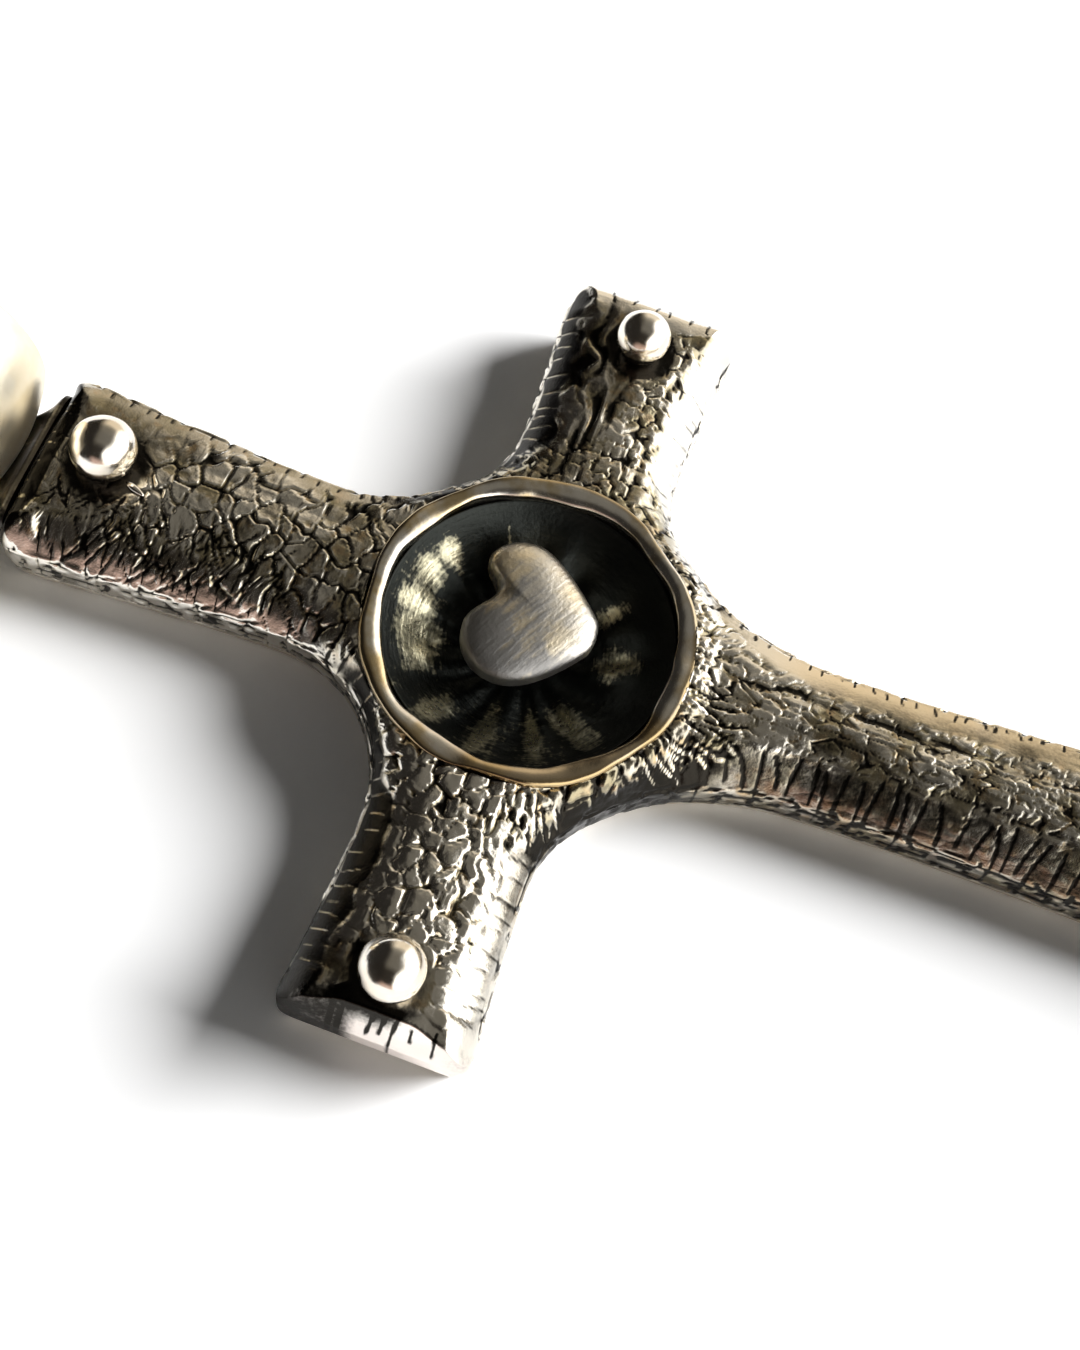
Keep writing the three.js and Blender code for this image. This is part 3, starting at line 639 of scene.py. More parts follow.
def shell_relief(skin):
    """For each point of the sheet: height of the worked surface over the smooth one, how far it is rubbed
    bright with painted shade and painted light mixed in, and how far it is polished."""
    run, climb, inset = skin["run"], skin["climb"], skin["inset"]
    plan = skin["points"][:, :2]
    arm, along, across = arm_places(plan)
    end_gap = from_end(plan)
    column = np.round(run / fine_step).astype(int) % fine_columns
    towards_far, towards_left = facing_out(normal_rounding)[column].T
    left_side, right_side = eased(towards_left, 0.3, 0.75), eased(-towards_left, 0.3, 0.75)
    far_side = eased(towards_far, 0.3, 0.75)
    end_edge = arm_values("end_shoulder", arm)
    off_end = eased(end_gap, end_edge - 0.2, end_edge + 0.25)
    from_middle = np.hypot(*plan.T)
    outward_angle = np.degrees(np.arctan2(plan[:, 1], plan[:, 0])) % 360
    near_hub = 1 - eased(from_middle, 9.6, 12.0)
    ragged = 0.35 * rolling(run / 0.9, inset / 1.5, 37)
    out_on_arm = eased(along, 9.0, 12.0)
    on_top_arm, on_foot = (arm == TOP) * out_on_arm, (arm == FOOT) * out_on_arm
    top_near, foot_near = on_top_arm * (across > 0), on_foot * (across < 0)
    starts = 1.15 + 0.35 * left_side - 0.75 * on_top_arm + 0.35 * foot_near - 0.9 * near_hub
    starts = starts - (0.6 * (arm == RIGHT) + 0.3 * (arm == LEFT)) * left_side
    on_face = eased(inset + ragged, starts, starts + 0.6) * off_end
    on_side = 1 - on_face
    on_wall = 1 - eased(inset, 0.0, 0.25)

    cell_along, cell_across = arm_values("cell_along", arm), arm_values("cell_across", arm)
    calm_from = arm_values("calm_from", arm)
    strength = 0.35 + 0.65 * eased(end_gap, 0.45 * calm_from, calm_from)
    far_calm = 0.7 * (1 - eased(across, -3.2, -1.2)) * (1 - 0.8 * eased(end_gap, 6.0, 10.0))
    strength = strength * (1 - far_calm * on_top_arm)
    strength = strength * (1 - 0.6 * (arm == LEFT) * (1 - eased(across, -2.6, -1.2)) * (1 - near_hub))
    ball_shade_ring = np.zeros_like(run)
    for _, x, y, radius in ball_seats:
        away = np.hypot(plan[:, 0] - x, plan[:, 1] - y)
        strength = strength * eased(away, 1.0 * radius, 1.6 * radius)
        ball_shade_ring = np.maximum(ball_shade_ring, 1 - eased(away, 1.05 * radius, 1.65 * radius))
    domed = arm_values("cell_dome", arm)
    broad = scales(along / cell_along + 17 * arm, across / cell_across + 31 * arm, 11, 0.15, domed)
    small = scales(2.1 * along / cell_along + 7 * arm, 2.1 * across / cell_across + 3 * arm, 23, 0.22)
    warp = 0.5 * rolling(along / 1.6, across / 0.9, 67)
    wrinkles = np.abs(rolling(along / 2.6 + 5 * arm, (across + warp) / 0.55, 71)) - 0.35
    wrinkled = arm_values("wrinkled", arm) * (1 - near_hub)
    ridged = (arm == RIGHT) * eased(across, -1.5, 0.5) * (1 - 0.7 * near_hub)
    flow = np.abs(rolling(along / 2.2 + 5, (across + warp) / 0.42, 79))
    flow = 0.7 * flow + 0.3 * np.abs(rolling(along / 1.1 + 9, (across + warp) / 0.3, 80))
    height = arm_values("cell_height", arm) * (1 - 0.6 * wrinkled)
    relief = on_face * strength * (height * broad + 0.010 * small)
    relief += on_face * strength * wrinkled * 0.11 * wrinkles
    relief = relief * (1 - 0.8 * ridged) + 0.22 * on_face * strength * ridged * (0.40 - flow)
    cut_strip = between(outward_angle, 195, 210, 252, 268) * near_hub
    relief = relief * (1 - 0.3 * cut_strip)
    facing_right = eased(-plan[:, 1] / from_middle, 0.45, 0.9)
    collar = facing_right * (1 - eased(from_middle, seat_radius, seat_radius + 1.6))
    relief += collar_height * collar + 0.05 * collar * scales(plan[:, 0] / 0.5, plan[:, 1] / 0.5, 91, 0.3)
    relief += on_face * 0.03 * strength * rolling(plan[:, 0] / 1.7 + 3, plan[:, 1] / 1.7 + 3, 61)
    seam = across - 1.25 - 0.30 * rolling(along / 2.2, 0 * along, 75)
    seam -= 0.15 * rolling(along / 0.7, 0 * along, 76)
    broken = eased(rolling(along / 1.3, 0 * along, 77), -0.5, 0.3) * eased(end_gap, 2.0, 4.0)
    in_seam = on_foot * (1 - eased(np.abs(seam), 0.04, 0.26)) * (0.25 + 0.75 * broken)
    relief -= 0.06 * in_seam
    wall_scales = scales(run / 2.0, climb / 0.5, 41, 0.25)
    relief += on_wall * off_end * 0.07 * wall_scales
    relief += 0.010 * on_side * rolling(run / 1.1, climb / 0.8, 47)
    relief += 0.010 * on_face * rolling(plan[:, 0] / 0.3, plan[:, 1] / 0.3, 53)
    crossed, in_crossed = scored(along, across, crossed_cuts())
    relief -= on_top_arm * off_end * crossed
    notches, in_notch = scored(run, inset, bevel_cuts())
    relief -= notches
    around = np.arctan2(plan[:, 1], plan[:, 0]) % (2 * math.pi) * hatch_radius
    off_edge = eased(inset, 0.1, 0.4)
    hatch, in_hatch = scored(around, from_middle, hub_cuts())
    burrs, on_burr = scored(around + burr_shift, from_middle, hub_cuts())
    relief -= hatch * off_edge
    relief += 0.5 * burrs * off_edge
    relief = np.where(end_gap < end_edge, np.minimum(relief, 0.0), relief) * eased(climb, 0.0, 0.5)

    # Painted shade: a dark ring is painted round the foot of each ball.
    rub_and_painted_light = eased(relief - collar_height * collar, -0.10, 0.09) - 0.45 * ball_shade_ring
    rub_and_painted_light -= 0.8 * on_top_arm * in_crossed + 0.9 * in_hatch * off_edge + 0.35 * in_seam
    near_corner = between(outward_angle, 186, 205, 272, 284)
    near_corner = np.maximum(near_corner, foot_near * (1 - eased(along, 14.0, 22.0)))
    near_corner = near_corner * (1 - 0.6 * collar * eased(outward_angle, 255, 275))
    rub_and_painted_light -= (0.10 * on_side + 0.20) * near_corner + (0.15 + 0.15 * (arm == LEFT)) * near_hub
    rub_and_painted_light += 0.7 * on_burr * off_edge - 0.32 * cut_strip
    rub_and_painted_light += arm_values("face_tone", arm) * on_face
    rub_and_painted_light += (0.35 * top_near + 0.10 * foot_near) * on_side
    rub_and_painted_light -= 0.35 * (arm == LEFT) * (1 - eased(across, -1.6, -0.4)) * (1 - eased(end_gap, 3.0, 6.5))
    near_wall = on_wall * off_end * (foot_near + top_near)
    rub_and_painted_light -= near_wall * (0.12 + 0.75 * (1 - eased(wall_scales, -0.5, 0.15))) * (1 - 0.35 * on_top_arm)
    # Painted shade: the bevels and walls that face away from the light, and the top arm's end wall on that
    # side, are painted black, with pale painted lines at their notches.
    painted_shade_end = (arm == TOP) * left_side * (end_gap < 1.5) * 0.9
    painted_shade_side = np.maximum(left_side * on_side * eased(inset + 0.3 * ragged, 0.05, 0.3), painted_shade_end)
    # Painted light: the notches are painted less dark on the sides that face the light and on the far side,
    # and the sides facing the light stay polished down their walls.
    rub_and_painted_light -= 0.9 * in_notch * (1 - painted_shade_side) * (1 - 0.9 * right_side) * (1 - 0.55 * far_side)
    rub_and_painted_light = rub_and_painted_light * (1 - 0.9 * painted_shade_side) + 0.5 * in_notch * painted_shade_side
    polish = on_side * (1 - 0.5 * on_wall * off_end * (1 - right_side)) * (1 - painted_shade_side)
    polish = polish * (1 - 0.75 * on_top_arm * (across < 0))
    polish = polish * (1 - 0.6 * foot_near) * (1 - 0.7 * near_corner)
    return relief, np.clip(rub_and_painted_light, 0, 1), polish


def solid_object(name, points, faces, finish):
    """A smooth-shaded object from points in millimetres and rows of point numbers."""
    mesh = bpy.data.meshes.new(name)
    mesh.from_pydata((np.asarray(points) * MM).tolist(), [], np.asarray(faces).tolist())
    mesh.materials.append(finish)
    mesh.shade_smooth()
    made = bpy.data.objects.new(name, mesh)
    bpy.context.scene.collection.objects.link(made)
    return made


def paint(thing, name, values):
    """Stores one number for each point of a mesh, for its material to read."""
    layer = thing.data.attributes.new(name, "FLOAT", "POINT")
    layer.data.foreach_set("value", np.asarray(values, np.float32))


def metal(name):
    """A new material, the Wire that starts its nodes, and the place on the piece in millimetres."""
    made = bpy.data.materials.new(name)
    made.use_nodes = True
    made.node_tree.nodes.clear()
    start = Wire(made.node_tree)
    spot = start.node("ShaderNodeTexCoord", {}, {}, "Object")
    return made, start.node("ShaderNodeMapping", {}, {"Vector": spot, "Scale": (1 / MM, 1 / MM, 1 / MM)})


def mottle(place, scale, detail=3.0, stretch=(1.0, 1.0, 1.0)):
    """Cloudy noise from 0 to 1 with that many clouds to the millimetre."""
    drawn = place.node("ShaderNodeMapping", {}, {"Vector": place, "Scale": stretch})
    return place.node("ShaderNodeTexNoise", {}, {"Vector": drawn, "Scale": scale, "Detail": detail})


def finish_metal(shade, roughness, grain, depth):
    """Joins a colour, a roughness and a fine surface of that depth in millimetres into a metal."""
    bump = {"Height": grain, "Distance": depth * MM, "Strength": 1.0}
    worked = shade.node("ShaderNodeBump", {}, bump)
    ends = {"Base Color": shade, "Roughness": roughness, "Metallic": 1.0, "Normal": worked}
    surface = shade.node("ShaderNodeBsdfPrincipled", {}, ends)
    surface.node("ShaderNodeOutputMaterial", {}, {"Surface": surface})


oxide_and_shade_black = colour(0.020, 0.018, 0.015)
oxide_olive = colour(0.36, 0.315, 0.205)
oxide_grey = colour(0.52, 0.48, 0.40)
oxide_brown = colour(0.44, 0.345, 0.215)
silver_rubbed = colour(0.80, 0.76, 0.68)
silver_bright = colour(0.90, 0.86, 0.79)
gold_reflection = colour(0.88, 0.70, 0.44)
rose_reflection = colour(0.80, 0.38, 0.30)
blush_reflection = colour(0.94, 0.84, 0.80)

crackled_silver, place = metal("crackled_silver")
rub_and_painted_light = place.node("ShaderNodeAttribute", {"attribute_name": "rub_and_painted_light"}, {}, "Fac")
polished = place.node("ShaderNodeAttribute", {"attribute_name": "polished"}, {}, "Fac")
patch = mottle(place, 0.55, 4.0)
fleck = mottle(place, 5.0, 3.0)
wear_and_painted_light = rub_and_painted_light + 0.18 * (fleck - 0.5)
tint = mottle(place, 1.3, 2.0)
face_shade = patch.step(0.35, 0.65).blend(oxide_olive, oxide_grey)
face_shade = tint.step(0.52, 0.70).blend(face_shade, oxide_brown)
face_shade = wear_and_painted_light.step(0.58, 0.84).blend(face_shade, silver_rubbed)
swirl = place.node("ShaderNodeTexNoise", {}, {"Vector": place, "Scale": 0.7, "Detail": 1.0}, "Color")
swirl_ends = {0: swirl, 1: (1.2, 1.2, 0.0), 2: place}
swirled = place.node("ShaderNodeVectorMath", {"operation": "MULTIPLY_ADD"}, swirl_ends)
drawn = swirled.node("ShaderNodeMapping", {}, {"Vector": swirled, "Scale": (1.0, 0.42, 1.0)})
curl = drawn.node("ShaderNodeTexVoronoi", {}, {"Vector": drawn, "Scale": 2.1}, "Distance")
along_foot = 1 - part_of(place, "Y").step(-15.0, -10.0)
beside = part_of(place, "X")
curls = along_foot * (1 - polished)
face_shade = (curl.step(0.38, 0.62) * curls * 0.4).blend(face_shade, oxide_and_shade_black)
side_shade = patch.step(0.25, 0.7).blend(silver_rubbed, silver_bright)
# Painted reflections: a pale pink blush on the left arm's end band, gold on the foot arm's far bevel and rose
# on its near bevel.
left_end = 1 - beside.step(-20.7, -20.2)
side_shade = (left_end * 0.6).blend(side_shade, blush_reflection)
side_shade = (along_foot * beside.step(1.0, 3.0) * 0.6).blend(side_shade, gold_reflection)
rose_reflection_mask = along_foot * (1 - beside.step(-3.0, -1.0)) * tint.step(0.40, 0.55) * 0.9
side_shade = rose_reflection_mask.blend(side_shade, rose_reflection)
# Where wear and painted light run low the sheet turns black: real oxide in the cracks and painted shade on
# the shaded sides.
shade = wear_and_painted_light.step(0.16, 0.50).blend(oxide_and_shade_black, polished.blend(face_shade, side_shade))
roughness = 0.25 - 0.05 * rub_and_painted_light - 0.08 * polished + 0.12 * (fleck - 0.5) + 0.3 * left_end
finish_metal(shade, roughness, mottle(place, 9.0, 4.0) + 0.5 * fleck - 6.0 * curl * curls, 0.008)

outer = shell_skin(step=6, walls=10, shoulders=20, pitch=0.118, inwards=0.0, hub_radius=seat_radius)
inner = shell_skin(step=24, walls=3, shoulders=4, pitch=0.8, inwards=sheet_wall, hub_radius=dish_bore)
relief, rub_and_painted_light, polish = shell_relief(outer)
outer_points = outer["points"] + point_normals(outer["points"], outer["triangles"]) * relief[:, None]
seat_edge = outer["points"][outer["hub"]][:, :2]
seat = np.concatenate([
    np.column_stack([seat_edge, np.full(len(seat_edge), seat_height)]),
    np.column_stack([seat_edge * dish_bore / seat_radius, np.full(len(seat_edge), seat_height)]),
])
seat_outer = len(outer_points) + np.arange(len(seat_edge))
seat_inner = seat_outer + len(seat_edge)
first_inner = len(outer_points) + len(seat)
shell_triangles = np.concatenate([
    outer["triangles"],
    lip(outer["hub"], seat_outer),
    lip(seat_outer, seat_inner),
    inner["triangles"][:, ::-1] + first_inner,
    lip(outer["foot"], inner["foot"] + first_inner)[:, ::-1],
    lip(seat_inner, inner["hub"] + first_inner),
])
shell_points = np.concatenate([outer_points, seat, inner["points"]])
front_shell = solid_object("front_shell_sheet", shell_points, shell_triangles, crackled_silver)
hidden = np.zeros(len(shell_points) - len(outer_points))
paint(front_shell, "rub_and_painted_light", np.concatenate([rub_and_painted_light, hidden]))
paint(front_shell, "polished", np.concatenate([polish, hidden]))
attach(front_shell, "cross")
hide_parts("front_shell")


# Back plate. A flat sheet of silver that closes the tray from behind, its edge filed round, drilled with
# the small vent that a soldered hollow needs, then rubbed with fine abrasive and left to tarnish.
plate_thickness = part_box("back_plate")[1].z / MM
plate_edge = 0.3
plate_rows = 7
plate_step = 16
plate_pitch = 0.7
vent_radius = 0.5
vent_at = np.array([lean_at(-37.0), -37.0])
back_tarnish = colour(0.56, 0.50, 0.41)
back_scratch = colour(0.40, 0.37, 0.33)

satin_silver, place = metal("satin_silver")
cloud = mottle(place, 0.22, 5.0)
grit = mottle(place, 7.0, 3.0)
lines = mottle(place, 2.2, 4.0, (0.12, 4.0, 1.0))
crossing = mottle(place, 2.0, 4.0, (3.5, 0.3, 1.0))
shade = cloud.step(0.38, 0.66).blend(silver_rubbed, back_tarnish)
shade = lines.step(0.62, 0.78).blend(shade, back_scratch)
roughness = 0.34 + 0.22 * (grit - 0.5) + 0.14 * cloud
finish_metal(shade, roughness, lines + 0.6 * crossing + 0.4 * grit, 0.012)

plate_outline = fine_outline[::plate_step]
plate_normal = facing_out(normal_rounding)[::plate_step]
plate_count = len(plate_outline)
plate_parts = []
plate_triangles = []
for row in range(plate_rows):
    bend = row / (plate_rows - 1) * math.pi / 2
    drawn = foot_inset + plate_edge * (1 - math.sin(bend))
    level = plate_thickness * (1 - math.cos(bend))
    plate_parts.append(np.column_stack([plate_outline - plate_normal * drawn, np.full(plate_count, level)]))
    if row:
        plate_triangles += band((row - 1) * plate_count, row * plate_count, plate_count)
rim = plate_parts[0][:, :2]
inside, _, vent_count = face_points(rim, plate_normal, plate_pitch, vent_radius, vent_at)
plate_plan = filled(np.concatenate([rim, inside]), plate_count, vent_count)
back_first = plate_rows * plate_count
front_first = back_first + len(inside)
plate_parts.append(np.column_stack([inside, np.zeros(len(inside))]))
plate_parts.append(np.column_stack([inside, np.full(len(inside), plate_thickness)]))
in_ring = plate_plan < plate_count
back_faces = np.where(in_ring, plate_plan, plate_plan - plate_count + back_first)
front_faces = np.where(in_ring, plate_plan + back_first - plate_count, plate_plan - plate_count + front_first)
vent = np.arange(vent_count)
plate_triangles += [back_faces[:, ::-1], front_faces, lip(front_first + vent, back_first + vent)]
plate_points = np.concatenate(plate_parts)
back_plate = solid_object("back_plate_sheet", plate_points, np.concatenate(plate_triangles), satin_silver)
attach(back_plate, "cross")
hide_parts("back_plate")


# Bezel. A hand-made rim of silver soldered on its seat round the dish. It was pushed about with a hammer,
# so its edge waves in and out and up and down, and it was polished last and shines.
bezel_low, bezel_high = [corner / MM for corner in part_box("bezel_ring")]
bezel_outer = bezel_high.x
bezel_inner = bezel_outer - 0.8
bezel_lip = 0.5
bezel_stand = 1.4 - bezel_lip
bezel_crest = 0.74
bezel_columns = 540
out_waves = [(3, 0.08, 0.6), (5, 0.09, 2.1), (8, 0.07, 4.0), (13, 0.03, 1.0), (29, 0.01, 2.0)]
in_waves = [(4, 0.07, 1.1), (7, 0.10, 0.3), (11, 0.04, 2.4), (17, 0.02, 0.5), (31, 0.008, 1.0)]
top_waves = [(3, 0.06, 1.9), (6, 0.06, 0.2), (9, 0.05, 3.3), (16, 0.02, 1.5), (37, 0.006, 0.0)]
tarnish_gold = colour(0.64, 0.51, 0.30)
tarnish_dark = colour(0.40, 0.30, 0.16)
tarnish_brown = colour(0.46, 0.33, 0.16)


def skin_over(rings, looped):
    """Points and triangles over rows of points, which meet in a loop or end in fans."""
    rows, count = len(rings), len(rings[0])
    points = np.concatenate(rings)
    triangles = []
    for r in range(rows if looped else rows - 1):
        triangles += band(r * count, (r + 1) % rows * count, count)
    if not looped:
        here = np.arange(count)
        after = (here + 1) % count
        first_tip, last_row = len(points), (rows - 1) * count
        points = np.concatenate([points, [rings[0].mean(0)], [rings[-1].mean(0)]])
        triangles.append(np.column_stack([after, here, np.full(count, first_tip)]))
        triangles.append(np.column_stack([last_row + here, last_row + after, np.full(count, first_tip + 1)]))
    return points, np.concatenate(triangles)


def waves(angle, parts):
    """A sum of waves round the pendant: how many there are, their height and where they start."""
    return sum(deep * np.sin(number * angle + start) for number, deep, start in parts)


def from_axis(place):
    """X and Y of a place on a piece, and how far it is from the line through the pendant's middle."""
    spot_x, spot_y = part_of(place, "X"), part_of(place, "Y")
    return spot_x, spot_y, (spot_x * spot_x + spot_y * spot_y).maths("SQRT")


worn_silver, place = metal("worn_silver")
cloud = mottle(place, 0.4, 3.0)
grain = mottle(place, 6.0, 3.0)
spot_x, spot_y, outwards = from_axis(place)
outwards = outwards + 0.35 * (cloud - 0.5)
shade = cloud.step(0.42, 0.62).blend(silver_bright, tarnish_gold)
shade = (outwards.step(7.85, 8.1) * 0.85).blend(shade, tarnish_dark)
lower = (-0.85 * spot_x - 0.5 * spot_y) / outwards + 0.5 * (cloud - 0.5)
shade = (lower.step(0.55, 0.85) * 0.75).blend(shade, tarnish_brown)
finish_metal(shade, 0.12 + 0.10 * cloud + 0.08 * grain, cloud + 0.15 * grain, 0.03)

angle = angles_round(bezel_columns)
out_wave = 0.12 + waves(angle, out_waves)
in_wave = 0.05 + waves(angle, in_waves)
top_wave = waves(angle, top_waves)
rings = []
for rise in (0.0, 0.3, 0.6, 0.85):
    radius = bezel_outer + np.minimum(out_wave, 0.02) * rise
    rings.append((radius, bezel_low.z + rise * bezel_stand + 0 * angle))
for share in np.linspace(0, 1, 21):
    bend = share * math.pi
    middle = (bezel_outer + bezel_inner + out_wave - in_wave) / 2
    half = (bezel_outer - bezel_inner + out_wave + in_wave) / 2
    swing = math.copysign(abs(math.cos(bend)) ** 0.95, math.cos(bend))
    arch = math.sin(math.pi * share ** bezel_crest) if share < 1 else 0.0
    level = bezel_high.z - bezel_lip + (bezel_lip + top_wave - 0.12) * arch ** 0.9
    rings.append((middle + half * swing, level))
for rise in (0.7, 0.35, 0.0):
    rings.append((bezel_inner - in_wave * rise, bezel_low.z + rise * bezel_stand + 0 * angle))
rings = [np.column_stack([r * np.cos(angle), r * np.sin(angle), z]) for r, z in rings]
bezel = solid_object("bezel_rim", *skin_over(rings, True), worn_silver)
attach(bezel, "cross")
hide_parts("bezel_ring")


# Dish. A thin silver bowl pressed with faint radial flutes, which hangs by its edge inside the bezel. It is
# blackened all over, and brushed back to pale metal in a dozen marks that run out from its middle.
dish_floor_radius = 1.7
dish_hole_radius = 0.58
dish_rim = 7.24
dish_rim_top = 4.9
dish_floor = 1.85
dish_wall = 0.5
dish_body = 6.75
flute_count = 12
flute_depth = 0.17
dish_columns = 361
dish_black = colour(0.030, 0.033, 0.031)
dish_rubbed = colour(0.80, 0.76, 0.55)
rub_marks = [
    (58, 6.0, 0.9, 0.8), (73, 6.0, 1.0, 1.0), (88, 5.7, 1.2, 1.1), (103, 5.3, 1.3, 1.0), (117, 5.2, 0.9, 0.8),
    (150, 5.8, 1.1, 0.55), (176, 5.2, 1.3, 0.45), (204, 4.8, 1.5, 0.42), (229, 4.6, 1.5, 0.65),
    (281, 4.7, 1.1, 0.9), (314, 4.9, 1.0, 0.7), (28, 5.2, 1.4, 0.16),
]


def drawn_round(around, outwards, scale):
    """Noise on the dish that changes that quickly round it and outwards."""
    parts = {"X": spot_x / reach * around, "Y": spot_y / reach * around, "Z": reach * outwards}
    drawn = place.node("ShaderNodeCombineXYZ", {}, parts)
    return drawn.node("ShaderNodeTexNoise", {}, {"Vector": drawn, "Scale": scale, "Detail": 3.0})


blackened_silver, place = metal("blackened_silver")
spot_x, spot_y, reach = from_axis(place)
handled = place.node("ShaderNodeAttribute", {"attribute_name": "handled"}, {}, "Fac")
streak = drawn_round(2.4, 0.25, 3.0)
hairline = drawn_round(1.5, 5.0, 1.6)
fleck = mottle(place, 5.0, 5.0)
rub_and_painted_light = handled * 0.8 + 0.75 * (streak - 0.5) + 0.55 * (hairline - 0.5)
# Painted sheen and shade: the rubbing is painted paler towards the near side and darker towards the far side.
rub_and_painted_light = (rub_and_painted_light + 0.55 * (fleck - 0.5) - 0.035 * spot_x).step(0.24, 0.72)
shade = rub_and_painted_light.blend(dish_black, dish_rubbed)
roughness = 0.32 + 0.16 * fleck - 0.12 * rub_and_painted_light
finish_metal(shade, roughness, streak + 0.6 * hairline + 0.8 * fleck, 0.03)


def upper_height(radius):
    """Height of the dish's upper face, a parabola over its small flat floor."""
    share = np.clip((radius - dish_floor_radius) / (dish_rim - dish_floor_radius), 0, 1)
    return dish_floor + (dish_rim_top - dish_floor) * share ** 2


def dish_profile():
    """The dish's closed section, as radius, height and how much of the flutes it takes."""
    upper = [(r, upper_height(r)) for r in np.linspace(dish_hole_radius, dish_rim, 30)]
    edge = [(dish_rim, seat_height), (dish_body, seat_height)]
    lower = [(r, upper_height(r) - dish_wall) for r in np.linspace(dish_body, dish_hole_radius, 22)]
    section = upper + edge + lower
    flutes = [math.sin(math.pi * min(max((r - dish_floor_radius) / (dish_body - dish_floor_radius), 0), 1))
              for r, _ in section]
    return [(r, z, f) for (r, z), f in zip(section, flutes)]


def inputs_of(tree, sizes):
    """Adds a named number input to a node tree for each size, and returns them as Wires by name."""
    tree.interface.new_socket("Geometry", in_out="INPUT", socket_type="NodeSocketGeometry")
    tree.interface.new_socket("Geometry", in_out="OUTPUT", socket_type="NodeSocketGeometry")
    for name, value in sizes.items():
        socket = tree.interface.new_socket(name, in_out="INPUT", socket_type="NodeSocketFloat")
        socket.default_value = value
    start = Wire(tree).node("NodeGroupInput", {}, {}).socket.node
    return {name: Wire(tree, start.outputs[name]) for name in sizes}


def curve_of(wire, heights):
    """A Float Curve that goes through the given heights at even steps from 0 to 1."""
    made = wire.node("ShaderNodeFloatCurve", {}, {"Value": wire})
    mapping = made.socket.node.mapping
    points = mapping.curves[0].points
    last = len(heights) - 1
    for i, height in enumerate(heights):
        if i in (0, last):
            point = points[0 if i == 0 else len(points) - 1]
            point.location = (i / last, height)
        else:
            point = points.new(i / last, height)
        point.handle_type = "VECTOR"
    mapping.update()
    return made


def finish_tree(geometry, material):
    """Smooths the mesh that a tree makes, gives it its material and sends it out."""
    smooth = geometry.node("GeometryNodeSetShadeSmooth", {}, {"Geometry": geometry, "Shade Smooth": True})
    real = smooth.node("GeometryNodeRealizeInstances", {}, {"Geometry": smooth})
    dressed = real.node("GeometryNodeSetMaterial", {}, {"Geometry": real, "Material": material})
    dressed.node("NodeGroupOutput", {}, {"Geometry": dressed})


def grown(name, tree, sizes):
    """The mesh that a Geometry Nodes tree makes with these sizes, as an object with no modifier."""
    seed = bpy.data.objects.new(name, bpy.data.meshes.new(name + "_seed"))
    bpy.context.scene.collection.objects.link(seed)
    modifier = seed.modifiers.new("grow", "NODES")
    modifier.node_group = tree
    for item in tree.interface.items_tree:
        if item.in_out == "INPUT" and item.name in sizes:
            modifier[item.identifier] = float(sizes[item.name])
    ready = seed.evaluated_get(bpy.context.evaluated_depsgraph_get())
    mesh = bpy.data.meshes.new_from_object(ready)
    mesh.name = name
    seed.modifiers.remove(modifier)
    seed.data = mesh
    return seed


dish_sizes = {
    "Rim radius": dish_rim,
    "Rim top": dish_rim_top,
    "Flute count": flute_count,
    "Flute depth": flute_depth,
    "Unevenness": 0.05,
}
dish_tree = bpy.data.node_groups.new("dish", "GeometryNodeTree")
size = inputs_of(dish_tree, dish_sizes)
section = dish_profile()
grid_sizes = {"Size X": 1.0, "Size Y": 1.0, "Vertices X": dish_columns, "Vertices Y": 4 * len(section) + 1}
start = Wire(dish_tree)
grid = start.node("GeometryNodeMeshGrid", {}, grid_sizes)
here = start.node("GeometryNodeInputPosition", {}, {})
across = part_of(here, "X") + 0.5
down = part_of(here, "Y") + 0.5
closed = section + section[:1]
radius = curve_of(down, [r / dish_rim for r, _, _ in closed]) * size["Rim radius"]
level = curve_of(down, [z / dish_rim_top for _, z, _ in closed]) * size["Rim top"]
fluted = curve_of(down, [f for _, _, f in closed])
turn = across * (2 * math.pi)
wander = 0.35 * (turn * 3.0 + 1.0).maths("SINE") + 0.25 * (turn * 5.0).maths("SINE")
flute = (turn * size["Flute count"] + wander).maths("COSINE") * size["Flute depth"] * fluted
spin_x, spin_y = turn.maths("COSINE"), turn.maths("SINE")
knock_parts = {"X": spin_x * radius, "Y": spin_y * radius, "Z": level}
knock_place = spin_x.node("ShaderNodeCombineXYZ", {}, knock_parts)
knock = knock_place.node("ShaderNodeTexNoise", {}, {"Vector": knock_place, "Scale": 0.9, "Detail": 2.0}) - 0.5
raised_level = level + flute + knock * fluted * size["Unevenness"] * 4.0
target_parts = {"X": spin_x * radius * MM, "Y": spin_y * radius * MM, "Z": raised_level * MM}
target = knock.node("ShaderNodeCombineXYZ", {}, target_parts)
bent = grid.node("GeometryNodeSetPosition", {}, {"Geometry": grid, "Position": target})
welded = bent.node("GeometryNodeMergeByDistance", {}, {"Geometry": bent, "Distance": 1e-6})
finish_tree(welded, blackened_silver)
dish = grown("dish_bowl", dish_tree, dish_sizes)

spots = np.array([vertex.co[:] for vertex in dish.data.vertices]) / MM
handled = np.zeros(len(spots))
for degrees, out, half_long, half_wide in rub_marks:
    way_x, way_y = math.cos(math.radians(degrees)), math.sin(math.radians(degrees))
    outwards = (spots[:, 0] * way_x + spots[:, 1] * way_y - out) / half_long
    aside = (spots[:, 1] * way_x - spots[:, 0] * way_y) / half_wide
    handled = np.maximum(handled, np.exp(-outwards ** 2 - aside ** 2))
paint(dish, "handled", handled)
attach(dish, "cross")
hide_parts("fluted_dish")


